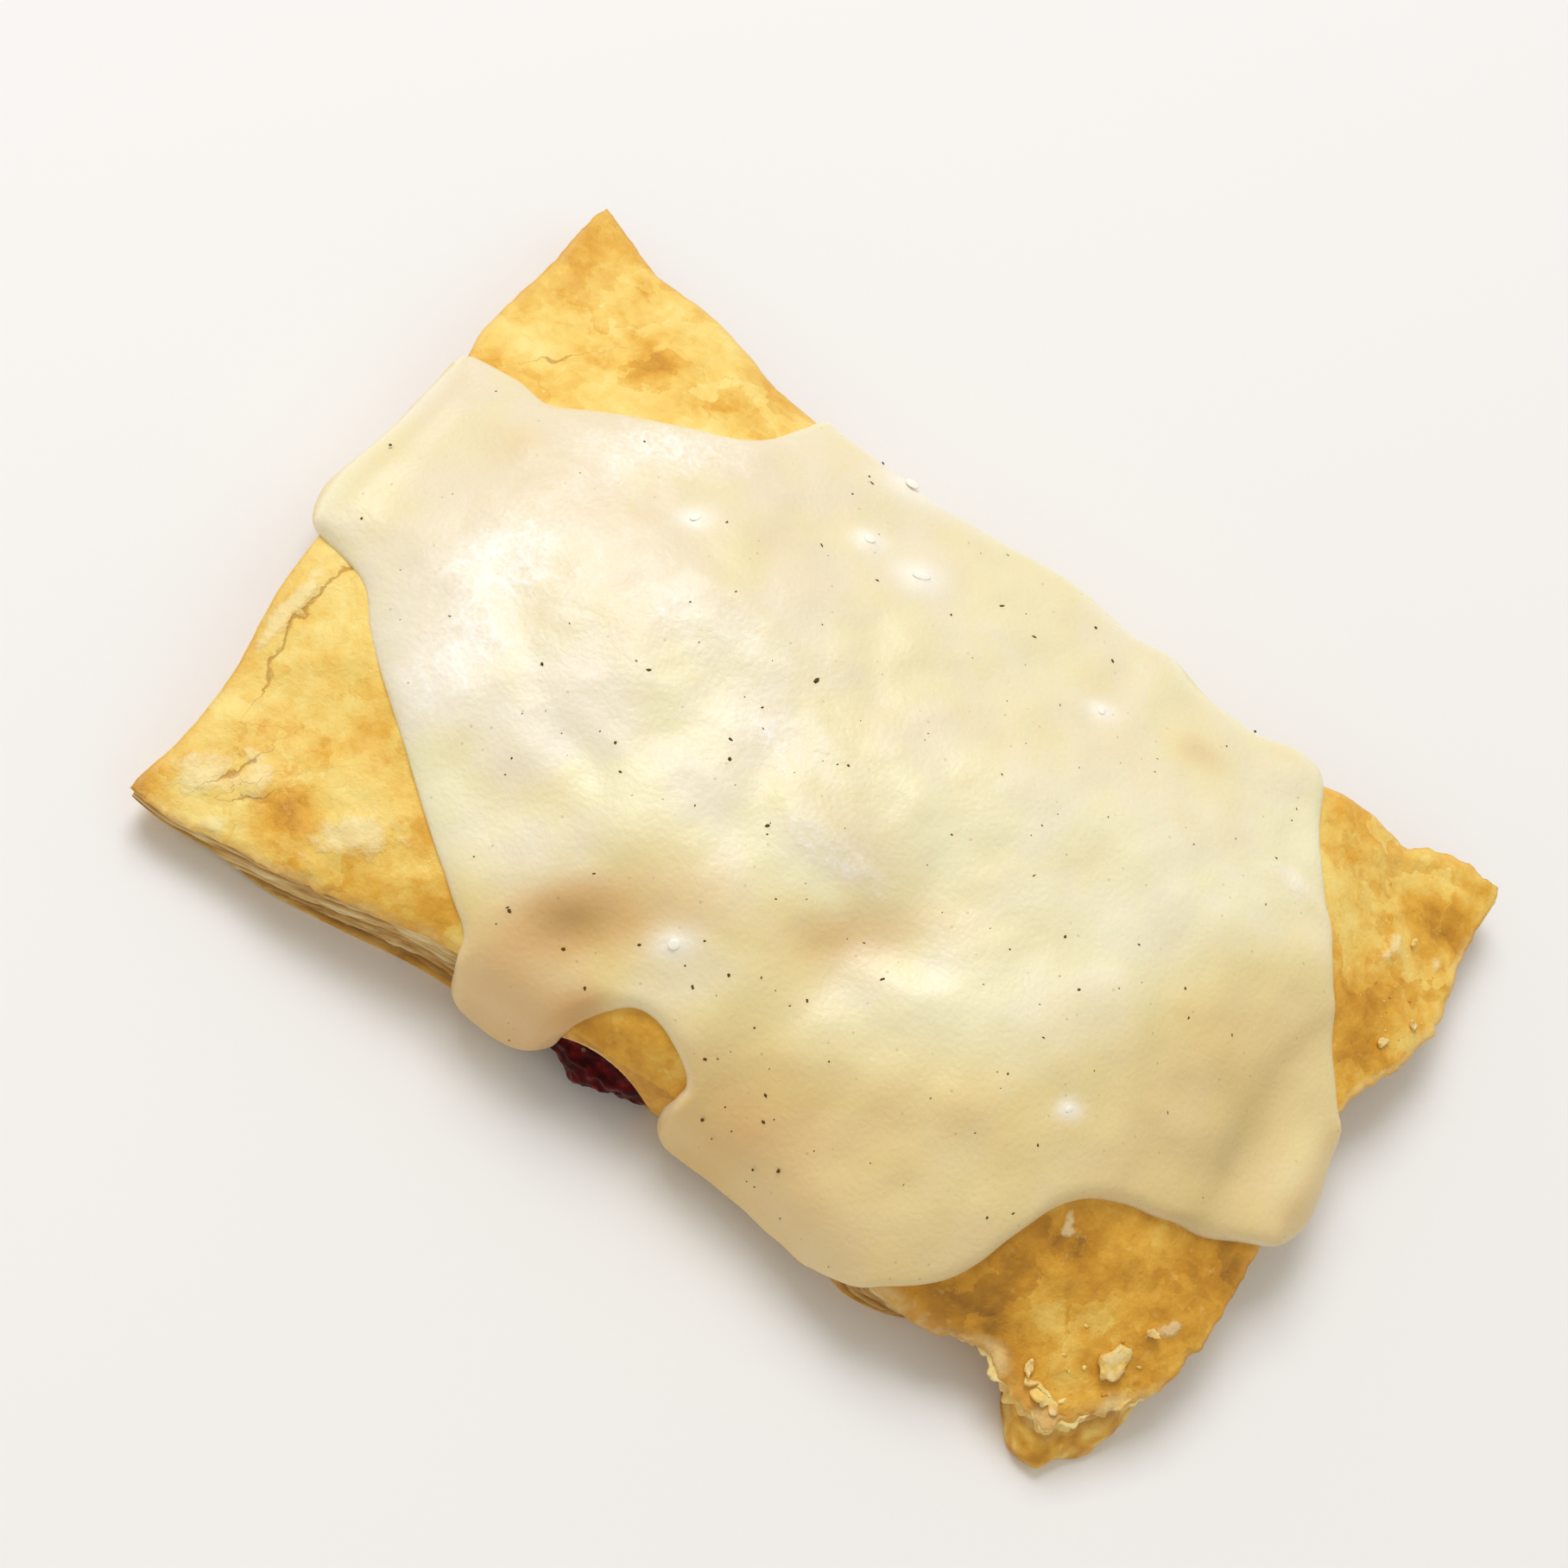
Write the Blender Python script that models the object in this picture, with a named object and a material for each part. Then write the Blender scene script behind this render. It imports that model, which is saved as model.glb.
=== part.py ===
"""An iced puff pastry turnover: a flaky pocket about 130 mm long, its berry filling and its poured icing.

Blender 4.5. The script is in metres, +Z up; the lengths below are in millimetres and MM turns them into metres.
+X runs along the pastry, +Y across it, and the side where the berries show faces -Y.
The pastry stands on z = 0, with the middle of its box over the origin.
"""

import math

import bmesh
import bpy
import numpy as np
from mathutils import Matrix, Vector

MM = 0.001

# The four edges of the top sheet, seen from above: (x, y, height of the sheet's edge).
NEAR_EDGE = [
    (-60.3, -46.3, 6.5),
    (-55, -45.6, 6.2),
    (-49, -44.6, 7.0),
    (-42, -44.2, 8.8),
    (-34, -42.6, 10.2),
    (-24, -40.6, 11.8),
    (-12, -40.0, 12.4),
    (-3, -39.8, 13.2),
    (6, -38.8, 12.2),
    (22, -39.3, 11.8),
    (34, -41.3, 9.4),
    (40, -40.8, 8.3),
    (46, -38.8, 8.0),
    (51, -41.0, 7.2),
    (57, -40.6, 6.8),
]
FAR_EDGE = [
    (-62.4, 44.6, 6.0),
    (-57, 42.4, 6.3),
    (-52, 40.4, 7.3),
    (-45, 39.6, 9.0),
    (-39, 37.8, 10.3),
    (-32, 35.6, 11.4),
    (-16, 34.4, 12.8),
    (6, 35.2, 13.2),
    (28, 34.8, 13.0),
    (41, 36.2, 12.4),
    (49, 37.4, 10.5),
    (54, 38.9, 8.5),
    (58, 43.0, 7.2),
    (66.3, 44.4, 6.5),
]
LEFT_EDGE = [
    (-60.3, -46.3, 6.5),
    (-58.8, -38.5, 7.2),
    (-59.2, -29, 8.0),
    (-61.0, -19, 9.6),
    (-61.6, -5, 10.8),
    (-61.3, 12, 10.2),
    (-62.8, 21, 9.0),
    (-62.2, 34, 7.0),
    (-62.4, 44.6, 6.0),
]
RIGHT_EDGE = [
    (57, -40.6, 6.8),
    (60.6, -35, 6.9),
    (64.0, -27.5, 7.8),
    (64.4, -18, 8.9),
    (63.4, -5, 9.8),
    (63.2, 7.5, 9.9),
    (66.8, 19, 8.7),
    (67.2, 27, 7.4),
    (65.8, 36, 6.5),
    (66.3, 44.4, 6.5),
]
TOP_COLUMNS, TOP_ROWS = 34, 24
CURVE_STEPS = 24
OUTWARD_STEP = 0.012

# The puffed dome over the edges, and the broad waves on it.
DOME_HEIGHT = 8.0
DOME_ALONG_POWER, DOME_ALONG_SHOULDER = 3.0, 0.95
DOME_ACROSS_POWER, DOME_ACROSS_SHOULDER = 2.6, 0.78
WAVE_HEIGHT = 0.5
WAVE_ALONG, WAVE_ACROSS = (9.0, 0.6), (8.0, -0.4)  # (length of one radian, where it starts)
RIPPLE_ALONG, RIPPLE_ACROSS, RIPPLE_HEIGHT = 5.2, 6.1, 0.6

# The cut side, from the lip of the top sheet to the rim of the bottom one:
# (share of the side's height, how far it stands out).
SIDE_PROFILE = [(0.14, 0.1), (0.30, -1.7), (0.62, -1.1), (0.88, -0.1), (1.0, -0.4)]
SIDE_FULL_HEIGHT = 12.0

# The underside lies flat, and three of its corners curl up: (corner, height).
CORNER_LIFTS = [((-60.3, -46.3), 3.3), ((-62.4, 44.6), 3.0), ((66.3, 44.4), 2.6)]
LIFT_RADIUS = 26.0
BASE_RINGS = [0.04, 0.12, 0.22, 0.34]
BASE_EASE = 6

# At the fourth corner the bottom sheet runs out past the top one.
FOOT_CORNER = (58.0, -41.0)
FOOT_REACH = (3.4, -3.0)
FOOT_RADIUS = 11.0
FOOT_EASE = 1.5

# The berry filling: a flat layer inside, and the arched mouth in the near side where it shows.
LAYER_ALONG, LAYER_ACROSS = (0.15, 0.85), (0.14, 0.86)
LAYER_FLOOR, LAYER_HEIGHT = 3.4, 11.0
LAYER_SEGMENTS, LAYER_RINGS = 40, 10
LAYER_SQUARENESS = 0.75
MOUTH_MIDDLE, MOUTH_HALF_WIDTH = -3.2, 6.4
MOUTH_FLOOR, MOUTH_TOP = 2.8, 11.0
MOUTH_BACK, MOUTH_FRONT = -26.0, -50.0
ARCH_STEPS = 12
ARCH_POWER = 0.8
TONGUE_RINGS = [(-27.0, 1.0), (-38.0, 1.0), (-39.6, 0.95), (-40.6, 0.72)]
FILLING_GAP = 0.35

# The icing's edge on the skin of the pastry: share along the top, share across it.
# Past 0 or 1 the skin goes on down the side: 0.01 is WIDE / 100 of drop.
LONG, WIDE = 128.0, 84.0
ICING_EDGE = [
    (0.03, 0.70),
    (0.09, 0.69),
    (0.15, 0.70),
    (0.21, 0.76),
    (0.25, 0.85),
    (0.27, 0.96),
    (0.29, 1.06),
    (0.36, 1.10),
    (0.44, 1.06),
    (0.52, 1.09),
    (0.61, 1.11),
    (0.70, 1.05),
    (0.78, 1.07),
    (0.83, 1.02),
    (0.85, 0.88),
    (0.89, 0.77),
    (0.95, 0.66),
    (1.01, 0.58),
    (1.045, 0.52),
    (1.05, 0.44),
    (1.01, 0.37),
    (0.95, 0.31),
    (0.90, 0.25),
    (0.86, 0.21),
    (0.84, 0.13),
    (0.81, 0.04),
    (0.77, -0.06),
    (0.70, -0.10),
    (0.62, -0.095),
    (0.555, -0.09),
    (0.535, -0.01),
    (0.51, 0.055),
    (0.465, 0.065),
    (0.43, 0.00),
    (0.41, -0.075),
    (0.36, -0.105),
    (0.315, -0.08),
    (0.295, 0.0),
    (0.25, 0.07),
    (0.20, 0.14),
    (0.13, 0.24),
    (0.08, 0.33),
    (0.03, 0.37),
    (-0.02, 0.42),
    (-0.045, 0.52),
    (-0.02, 0.62),
]
ICING_MIDDLE = (0.55, 0.5)
ICING_SAMPLES = 104
ICING_INNER_RINGS = 6
ICING_BORDER, ICING_BORDER_SMOOTHING = 3.0, 4
ICING_BORDER_RINGS = [(0.0, 1.0), (0.55, 0.9), (0.85, 0.7), (1.0, 0.4)]
ICING_RELAX_STEPS, ICING_RING_PULL = 400, 30.0
ICING_THICK = 2.0
ICING_ROOTS = 1.2
ICING_GAP = 0.35

CRUST = ("baked puff pastry", (0.80, 0.50, 0.18), 0.6)
BERRIES = ("berry filling", (0.11, 0.008, 0.012), 0.25)
ICING = ("poured icing", (0.88, 0.80, 0.58), 0.35)


def clear_scene():
    for old in list(bpy.data.objects):
        bpy.data.objects.remove(old)


def finish_material(name, colour, roughness):
    material = bpy.data.materials.new(name)
    material.use_nodes = True
    shader = material.node_tree.nodes["Principled BSDF"]
    shader.inputs["Base Color"].default_value = (*colour, 1.0)
    shader.inputs["Roughness"].default_value = roughness
    shader.inputs["Metallic"].default_value = 0.0
    return material


def object_of(name, bm, material=None):
    """A mesh object from a bmesh in millimetres, with its faces pointing out."""
    bmesh.ops.recalc_face_normals(bm, faces=bm.faces)
    bmesh.ops.scale(bm, vec=(MM, MM, MM), verts=bm.verts)
    mesh = bpy.data.meshes.new(name)
    bm.to_mesh(mesh)
    bm.free()
    mesh.shade_smooth()
    mesh.set_sharp_from_angle(angle=math.radians(40))
    made = bpy.data.objects.new(name, mesh)
    bpy.context.scene.collection.objects.link(made)
    if material:
        mesh.materials.append(finish_material(*material))
    return made


def smooth_points(points, count, closed=False):
    """count points along a smooth curve through points (Catmull-Rom), evenly spaced along it."""
    p = np.array(points, float)
    if closed:
        p = np.vstack([p[-1], p, p[0], p[1]])
    else:
        p = np.vstack([2 * p[0] - p[1], p, 2 * p[-1] - p[-2]])
    fine = []
    for a, b, c, d in zip(p[:-3], p[1:-2], p[2:-1], p[3:]):
        for t in np.linspace(0, 1, CURVE_STEPS, endpoint=False):
            fine.append(0.5 * (2 * b + (c - a) * t + (2 * a - 5 * b + 4 * c - d) * t**2
                               + (3 * b - a - 3 * c + d) * t**3))
    fine = np.array(fine + [p[-2]])
    along = np.concatenate([[0], np.cumsum(np.linalg.norm(np.diff(fine[:, :2], axis=0), axis=1))])
    wanted = np.linspace(0, along[-1], count, endpoint=not closed)
    return np.stack([np.interp(wanted, along, fine[:, i]) for i in range(fine.shape[1])], axis=1)


class TopSheet:
    """The top sheet as a surface over u (0 to 1 along) and v (0 to 1 across)."""

    FINE = 201

    def __init__(self):
        self.near, self.far, self.left, self.right = (
            smooth_points(e, self.FINE) for e in (NEAR_EDGE, FAR_EDGE, LEFT_EDGE, RIGHT_EDGE))

    def edge(self, side, t):
        at = np.clip(t, 0, 1) * (self.FINE - 1)
        return np.array([np.interp(at, range(self.FINE), side[:, i]) for i in range(3)])

    def brim(self, u, v):
        """The surface stretched between the four edges, before it puffs up."""
        across = (1 - v) * self.edge(self.near, u) + v * self.edge(self.far, u)
        along = (1 - u) * self.edge(self.left, v) + u * self.edge(self.right, v)
        corners = ((1 - u) * (1 - v) * self.near[0] + u * (1 - v) * self.near[-1]
                   + (1 - u) * v * self.far[0] + u * v * self.far[-1])
        return across + along - corners

    def point(self, u, v):
        x, y, z = self.brim(u, v)
        swell = ((1 - abs(2 * u - 1) ** DOME_ALONG_POWER) ** DOME_ALONG_SHOULDER
                 * (1 - abs(2 * v - 1) ** DOME_ACROSS_POWER) ** DOME_ACROSS_SHOULDER)
        wave = (math.sin(x / WAVE_ALONG[0] + WAVE_ALONG[1]) * math.cos(y / WAVE_ACROSS[0] + WAVE_ACROSS[1])
                + RIPPLE_HEIGHT * math.sin(x / RIPPLE_ALONG - y / RIPPLE_ACROSS))
        return Vector((x, y, z + swell * (DOME_HEIGHT + WAVE_HEIGHT * wave)))

    def outward(self, u, v):
        """The direction away from the pastry, seen from above, at a place on its edge."""
        if u in (0, 1) and v in (0, 1):
            return Vector((self.brim(u, v) - self.brim(0.5, 0.5))[:2]).normalized()
        if 0 < u < 1 and not 0 < v < 1:
            low, high = self.brim(max(u - OUTWARD_STEP, 0), v), self.brim(min(u + OUTWARD_STEP, 1), v)
            run = high - low if v <= 0 else low - high
        else:
            low, high = self.brim(u, max(v - OUTWARD_STEP, 0)), self.brim(u, min(v + OUTWARD_STEP, 1))
            run = high - low if u >= 1 else low - high
        run = Vector(run[:2]).normalized()
        return Vector((run.y, -run.x))


def base_height(x, y):
    """How far the underside curls up off the plate near its corners."""
    height = 0.0
    for corner, lift in CORNER_LIFTS:
        away = math.dist(corner, (x, y))
        height += lift * max(0.0, 1 - away / LIFT_RADIUS) ** 2
    return height


def side_point(sheet, u, v, share, stand_out):
    """A point on the cut side below the edge (u, v): share 0 is the top sheet's lip and 1 the bottom rim."""
    lip = sheet.point(u, v)
    out = sheet.outward(u, v)
    low = base_height(lip.x, lip.y)
    thin = min(1.0, (lip.z - low) / SIDE_FULL_HEIGHT)
    at = lip.xy + out * stand_out * thin
    reach = max(0.0, 1 - (lip.xy - Vector(FOOT_CORNER)).length / FOOT_RADIUS) ** FOOT_EASE * share
    at += Vector(FOOT_REACH) * reach
    return Vector((at.x, at.y, lip.z + (low - lip.z) * share))


def pastry_body(sheet, grow=0.0):
    """The whole pocket as one closed skin, grown by a clearance where one is asked for."""
    bm = bmesh.new()
    along = bm.verts.layers.float.new("along")
    across = bm.verts.layers.float.new("across")
    bmesh.ops.create_grid(bm, x_segments=TOP_COLUMNS, y_segments=TOP_ROWS, size=1)
    for vert in bm.verts:
        vert[along] = round((vert.co.x + 1) / 2, 6)
        vert[across] = round((vert.co.y + 1) / 2, 6)
        vert.co = sheet.point(vert[along], vert[across])
    rim = [e for e in bm.edges if e.is_boundary]
    for share, stand_out in SIDE_PROFILE:
        rim, new = next_ring(bm, rim)
        for vert in new:
            vert.co = side_point(sheet, vert[along], vert[across], share, stand_out)
    stands_out = {(v[along], v[across]): v.co.xy - Vector(sheet.brim(v[along], v[across])[:2]) for v in new}
    for inset in BASE_RINGS:
        rim, new = next_ring(bm, rim)
        for vert in new:
            u, v = vert[along], vert[across]
            at = Vector(sheet.brim(u + (0.5 - u) * inset, v + (0.5 - v) * inset)[:2])
            at += stands_out[u, v] * (1 - inset) ** BASE_EASE
            height = 0.0 if inset == BASE_RINGS[-1] else base_height(at.x, at.y)
            vert.co = (at.x, at.y, height)
    bmesh.ops.contextual_create(bm, geom=rim)
    bmesh.ops.recalc_face_normals(bm, faces=bm.faces)
    if grow:
        bm.normal_update()
        moved = {v: v.co + v.normal * grow for v in bm.verts}
        for vert, at in moved.items():
            vert.co = at
    return bm


def next_ring(bm, rim):
    """Extrudes an open rim and returns its new edges and vertices."""
    made = bmesh.ops.extrude_edge_only(bm, edges=rim)["geom"]
    edges = [g for g in made if isinstance(g, bmesh.types.BMEdge) and g.is_boundary]
    return edges, list({v for e in edges for v in e.verts})


def berry_layer(sheet, gap):
    """The filling inside: a flat-bottomed lens, smaller all round by gap."""
    bm = bmesh.new()
    bmesh.ops.create_uvsphere(bm, u_segments=LAYER_SEGMENTS, v_segments=LAYER_RINGS, radius=1)
    half_along = (LAYER_ALONG[1] - LAYER_ALONG[0]) / 2
    half_across = (LAYER_ACROSS[1] - LAYER_ACROSS[0]) / 2
    for vert in bm.verts:
        x, y, z = vert.co
        flat = math.hypot(x, y)
        square = flat / max(abs(x), abs(y)) if flat > 1e-6 else 1.0
        square = 1 + LAYER_SQUARENESS * (square - 1)
        u = (LAYER_ALONG[0] + LAYER_ALONG[1]) / 2 + x * square * (half_along - gap / LONG)
        v = (LAYER_ACROSS[0] + LAYER_ACROSS[1]) / 2 + y * square * (half_across - gap / WIDE)
        at = sheet.brim(u, v)
        height = LAYER_FLOOR + gap + (LAYER_HEIGHT - 2 * gap) * (z + 1) / 2
        vert.co = (at[0], at[1], height)
    return bm


def arch_tunnel(rings, gap):
    """A tunnel or tongue of arched section, running towards -Y through rings of (y, scale)."""
    half, low, top = MOUTH_HALF_WIDTH - gap, MOUTH_FLOOR + gap, MOUTH_TOP - gap
    middle = Vector((MOUTH_MIDDLE, 0, (low + top) / 2))
    profile = []
    for i in range(ARCH_STEPS + 1):
        turn = math.pi * i / ARCH_STEPS
        profile.append(Vector((MOUTH_MIDDLE + half * math.cos(turn), 0,
                               low + (top - low) * math.sin(turn) ** ARCH_POWER)))
    bm = bmesh.new()
    loop = [bm.verts.new(middle + (p - middle) * rings[0][1] + Vector((0, rings[0][0], 0))) for p in profile]
    rim = [bm.edges.new((a, b)) for a, b in zip(loop, loop[1:] + loop[:1])]
    bmesh.ops.contextual_create(bm, geom=rim)
    for (y, scale), (last_y, last_scale) in zip(rings[1:], rings):
        made = bmesh.ops.extrude_edge_only(bm, edges=rim)["geom"]
        rim = [g for g in made if isinstance(g, bmesh.types.BMEdge) and g.is_boundary]
        for vert in {v for e in rim for v in e.verts}:
            from_middle = vert.co - middle - Vector((0, last_y, 0))
            vert.co = middle + from_middle * scale / last_scale + Vector((0, y, 0))
    bmesh.ops.contextual_create(bm, geom=rim)
    return bm


def cut(target, tool, operation="DIFFERENCE"):
    """Applies a Boolean to target and removes the tool."""
    modifier = target.modifiers.new(operation.lower(), "BOOLEAN")
    modifier.operation = operation
    modifier.solver = "EXACT"
    modifier.object = tool
    graph = bpy.context.evaluated_depsgraph_get()
    made = bpy.data.meshes.new_from_object(target.evaluated_get(graph))
    target.modifiers.clear()
    target.data = made
    bpy.data.objects.remove(tool)


def skin_point(sheet, u, v):
    """A point on the outside of the pastry. Past the edge of the top sheet it goes on down the side."""
    cu, cv = min(max(u, 0.0), 1.0), min(max(v, 0.0), 1.0)
    at = sheet.point(cu, cv)
    drop = math.hypot((u - cu) * LONG, (v - cv) * WIDE)
    return Vector((at.x, at.y, at.z - drop))


def icing_rings():
    """Closed rings of (u, v) places in millimetres, from around the icing's middle out to its edge."""
    edge = smooth_points([(a * LONG, b * WIDE) for a, b in ICING_EDGE], ICING_SAMPLES, closed=True)
    run = np.roll(edge, -1, axis=0) - np.roll(edge, 1, axis=0)
    inward = np.stack([run[:, 1], -run[:, 0]], axis=1) / np.linalg.norm(run, axis=1)[:, None]
    lip = np.clip(edge, 0, (LONG, WIDE))
    drop = np.linalg.norm(edge - lip, axis=1)[:, None]
    border = lip + inward * np.maximum(0, ICING_BORDER - drop)
    for _ in range(ICING_BORDER_SMOOTHING):
        border = (np.roll(border, 1, axis=0) + 2 * border + np.roll(border, -1, axis=0)) / 4
    middle = np.array(ICING_MIDDLE) * (LONG, WIDE)
    rings = [middle + (border - middle) * (k + 1) / (ICING_INNER_RINGS + 1) for k in range(ICING_INNER_RINGS)]
    for _ in range(ICING_RELAX_STEPS):
        for k in range(ICING_INNER_RINGS):
            inner = rings[k - 1] if k else middle
            outer = rings[k + 1] if k + 1 < ICING_INNER_RINGS else border
            beside = np.roll(rings[k], 1, axis=0) + np.roll(rings[k], -1, axis=0)
            rings[k] = (inner + outer + ICING_RING_PULL * beside) / (2 + 2 * ICING_RING_PULL)
        middle = rings[0].mean(axis=0)
    return middle, rings + [border + (edge - border) * share for share, _ in ICING_BORDER_RINGS]


def icing_sheet(sheet):
    """The icing as a closed body whose underside dips into the pastry; the pastry is cut from it later."""
    middle, places = icing_rings()
    bm = bmesh.new()
    centre = bm.verts.new(skin_point(sheet, middle[0] / LONG, middle[1] / WIDE))
    rings = [[bm.verts.new(skin_point(sheet, x / LONG, y / WIDE)) for x, y in ring] for ring in places]
    for a, b in zip(rings[0], rings[0][1:] + rings[0][:1]):
        bm.faces.new((centre, b, a))
    for inner, outer in zip(rings, rings[1:]):
        for a, b, c, d in zip(inner, outer, outer[1:] + outer[:1], inner[1:] + inner[:1]):
            bm.faces.new((a, d, c, b))
    bm.normal_update()
    thick = {centre: 1.0} | {vert: 1.0 for ring in rings for vert in ring}
    for ring, (_, share) in zip(rings[-len(ICING_BORDER_RINGS):], ICING_BORDER_RINGS):
        thick.update((vert, share) for vert in ring)
    under = {v: v.co - v.normal * ICING_ROOTS for v in bm.verts}
    over = {v: v.co + v.normal * (ICING_GAP + ICING_THICK * thick[v]) for v in bm.verts}
    lower = bmesh.ops.duplicate(bm, geom=list(bm.faces))["vert_map"]
    for vert, at in over.items():
        vert.co = at
        lower[vert].co = under[vert]
    for a, b in zip(rings[-1], rings[-1][1:] + rings[-1][:1]):
        bm.faces.new((a, lower[a], lower[b], b))
    return bm


def build():
    clear_scene()
    sheet = TopSheet()
    pastry = object_of("pastry", pastry_body(sheet), CRUST)
    cut(pastry, object_of("layer_cutter", berry_layer(sheet, 0.0)))
    mouth = arch_tunnel([(MOUTH_BACK, 1.0), (MOUTH_FRONT, 1.0)], 0.0)
    cut(pastry, object_of("mouth_cutter", mouth))
    filling = object_of("filling", berry_layer(sheet, FILLING_GAP), BERRIES)
    cut(filling, object_of("tongue", arch_tunnel(TONGUE_RINGS, FILLING_GAP)), "UNION")
    icing = object_of("icing", icing_sheet(sheet), ICING)
    cut(icing, object_of("clearance", pastry_body(sheet, ICING_GAP)))
    parts = [pastry, filling, icing]
    corners = np.array([v.co for part in parts for v in part.data.vertices])
    middle = (corners.min(axis=0) + corners.max(axis=0)) / 2
    for part in parts:
        part.data.transform(Matrix.Translation((-middle[0], -middle[1], -corners[:, 2].min())))


build()
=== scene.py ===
import math

import bpy
import numpy as np
from mathutils import Matrix, Vector, noise


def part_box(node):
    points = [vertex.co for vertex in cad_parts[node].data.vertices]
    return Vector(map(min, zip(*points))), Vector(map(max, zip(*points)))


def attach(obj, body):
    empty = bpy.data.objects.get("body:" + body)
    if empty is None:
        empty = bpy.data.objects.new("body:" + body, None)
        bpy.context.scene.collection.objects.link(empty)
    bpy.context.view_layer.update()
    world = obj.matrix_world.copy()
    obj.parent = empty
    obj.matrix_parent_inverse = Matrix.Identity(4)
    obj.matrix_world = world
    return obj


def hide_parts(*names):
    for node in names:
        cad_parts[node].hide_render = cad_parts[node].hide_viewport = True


mm = 0.001

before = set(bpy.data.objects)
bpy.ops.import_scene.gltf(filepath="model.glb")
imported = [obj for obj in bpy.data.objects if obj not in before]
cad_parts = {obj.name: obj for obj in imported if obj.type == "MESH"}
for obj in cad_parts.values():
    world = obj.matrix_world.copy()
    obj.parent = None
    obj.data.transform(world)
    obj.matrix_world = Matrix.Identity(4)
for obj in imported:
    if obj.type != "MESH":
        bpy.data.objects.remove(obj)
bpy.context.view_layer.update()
pastryBox = [np.array(corner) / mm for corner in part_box("pastry")]
print("frame loaded")


# small helpers that every piece uses

def smoothLine(points, count, closed=False):
    p = np.array(points, float)
    p = np.vstack([p[-1], p, p[0], p[1]]) if closed else np.vstack([2 * p[0] - p[1], p, 2 * p[-1] - p[-2]])
    fine = []
    for a, b, c, d in zip(p[:-3], p[1:-2], p[2:-1], p[3:]):
        for t in np.linspace(0, 1, 24, endpoint=False):
            fine.append(0.5 * (2 * b + (c - a) * t + (2 * a - 5 * b + 4 * c - d) * t**2
                               + (3 * b - a - 3 * c + d) * t**3))
    fine = np.array(fine + [p[-2]])
    run = np.concatenate([[0], np.cumsum(np.linalg.norm(np.diff(fine[:, :2], axis=0), axis=1))])
    wanted = np.linspace(0, run[-1], count, endpoint=not closed)
    return np.stack([np.interp(wanted, run, column) for column in fine.T], axis=1)


def lumps(x, y, z, size, seed, octaves=2):
    # smooth random swells about size mm across, from about -1 to 1
    shift = Vector((seed * 17.3, seed * 5.1, seed * 9.7))
    places = np.stack(np.broadcast_arrays(x, y, z), axis=-1).reshape(-1, 3) / size
    return np.array([noise.fractal(Vector(p) + shift, 1.0, 2.0, octaves) for p in places])


def ramp(low, high, value):
    t = np.clip((value - low) / (high - low), 0, 1)
    return t * t * (3 - 2 * t)


def blob(x, y, spot):
    # spot: middle x, middle y, reach along, reach across, strength, and its turn in degrees if it has one
    turn = math.radians(spot[5]) if len(spot) > 5 else 0
    along = (x - spot[0]) * math.cos(turn) + (y - spot[1]) * math.sin(turn)
    across = (y - spot[1]) * math.cos(turn) - (x - spot[0]) * math.sin(turn)
    return spot[4] * np.exp(-(along / spot[2]) ** 2 - (across / spot[3]) ** 2)


def newPiece(name):
    piece = bpy.context.active_object
    piece.name = piece.data.name = name
    return piece


def startMesh():
    if bpy.context.object and bpy.context.object.mode != "OBJECT":
        bpy.ops.object.mode_set(mode="OBJECT")
    bpy.ops.object.select_all(action="DESELECT")


def readPoints(piece):
    flat = np.empty(len(piece.data.vertices) * 3)
    piece.data.vertices.foreach_get("co", flat)
    return flat.reshape(-1, 3)


def writePoints(piece, points):
    piece.data.vertices.foreach_set("co", (points * mm).ravel())
    piece.data.update()


def writeValues(piece, name, values):
    layer = piece.data.attributes.new(name, "FLOAT", "POINT")
    layer.data.foreach_set("value", np.asarray(values, float))


def faceOutwards(piece):
    startMesh()
    piece.select_set(True)
    bpy.context.view_layer.objects.active = piece
    bpy.ops.object.mode_set(mode="EDIT")
    bpy.ops.mesh.select_all(action="SELECT")
    bpy.ops.mesh.normals_make_consistent(inside=False)
    bpy.ops.object.mode_set(mode="OBJECT")
    bpy.ops.object.shade_smooth()


def smoothPart(piece, name, share, factor, times):
    # smooths a piece where share is above nothing, in ten steps of strength
    share = np.round(10 * np.clip(share, 0, 1)) / 10
    group = piece.vertex_groups.new(name=name)
    for weight in np.arange(1, 11) / 10:
        group.add(np.flatnonzero(np.isclose(share, weight)).tolist(), weight, "REPLACE")
    smooth = piece.modifiers.new(name, "SMOOTH")
    smooth.vertex_group = name
    smooth.factor = factor
    smooth.iterations = times
    bpy.context.view_layer.objects.active = piece
    bpy.ops.object.modifier_apply(modifier=name)


def hexColour(text):
    parts = [int(text[i:i + 2], 16) / 255 for i in (1, 3, 5)]
    return tuple(c / 12.92 if c <= 0.04045 else ((c + 0.055) / 1.055) ** 2.4 for c in parts) + (1.0,)


def addNode(tree, kind, settings=None, links=None, output=0):
    # adds a node, sets its values and properties, joins its inputs and gives back one of its outputs
    node = tree.nodes.new(kind)
    for name, value in (settings or {}).items():
        if name == "stops":
            stops = node.color_ramp.elements
            for i, (place, colour) in enumerate(value):
                stop = stops[i] if i < 2 else stops.new(place)
                stop.position = place
                stop.color = hexColour(colour)
        elif isinstance(name, int) or name in node.inputs:
            node.inputs[name].default_value = value
        else:
            setattr(node, name, value)
    for name, source in (links or {}).items():
        tree.links.new(source, node.inputs[name])
    return node.outputs[output]


def newMaterial(name):
    material = bpy.data.materials.new(name)
    material.use_nodes = True
    tree = material.node_tree
    shader = tree.nodes["Principled BSDF"]
    return material, tree, shader


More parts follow.
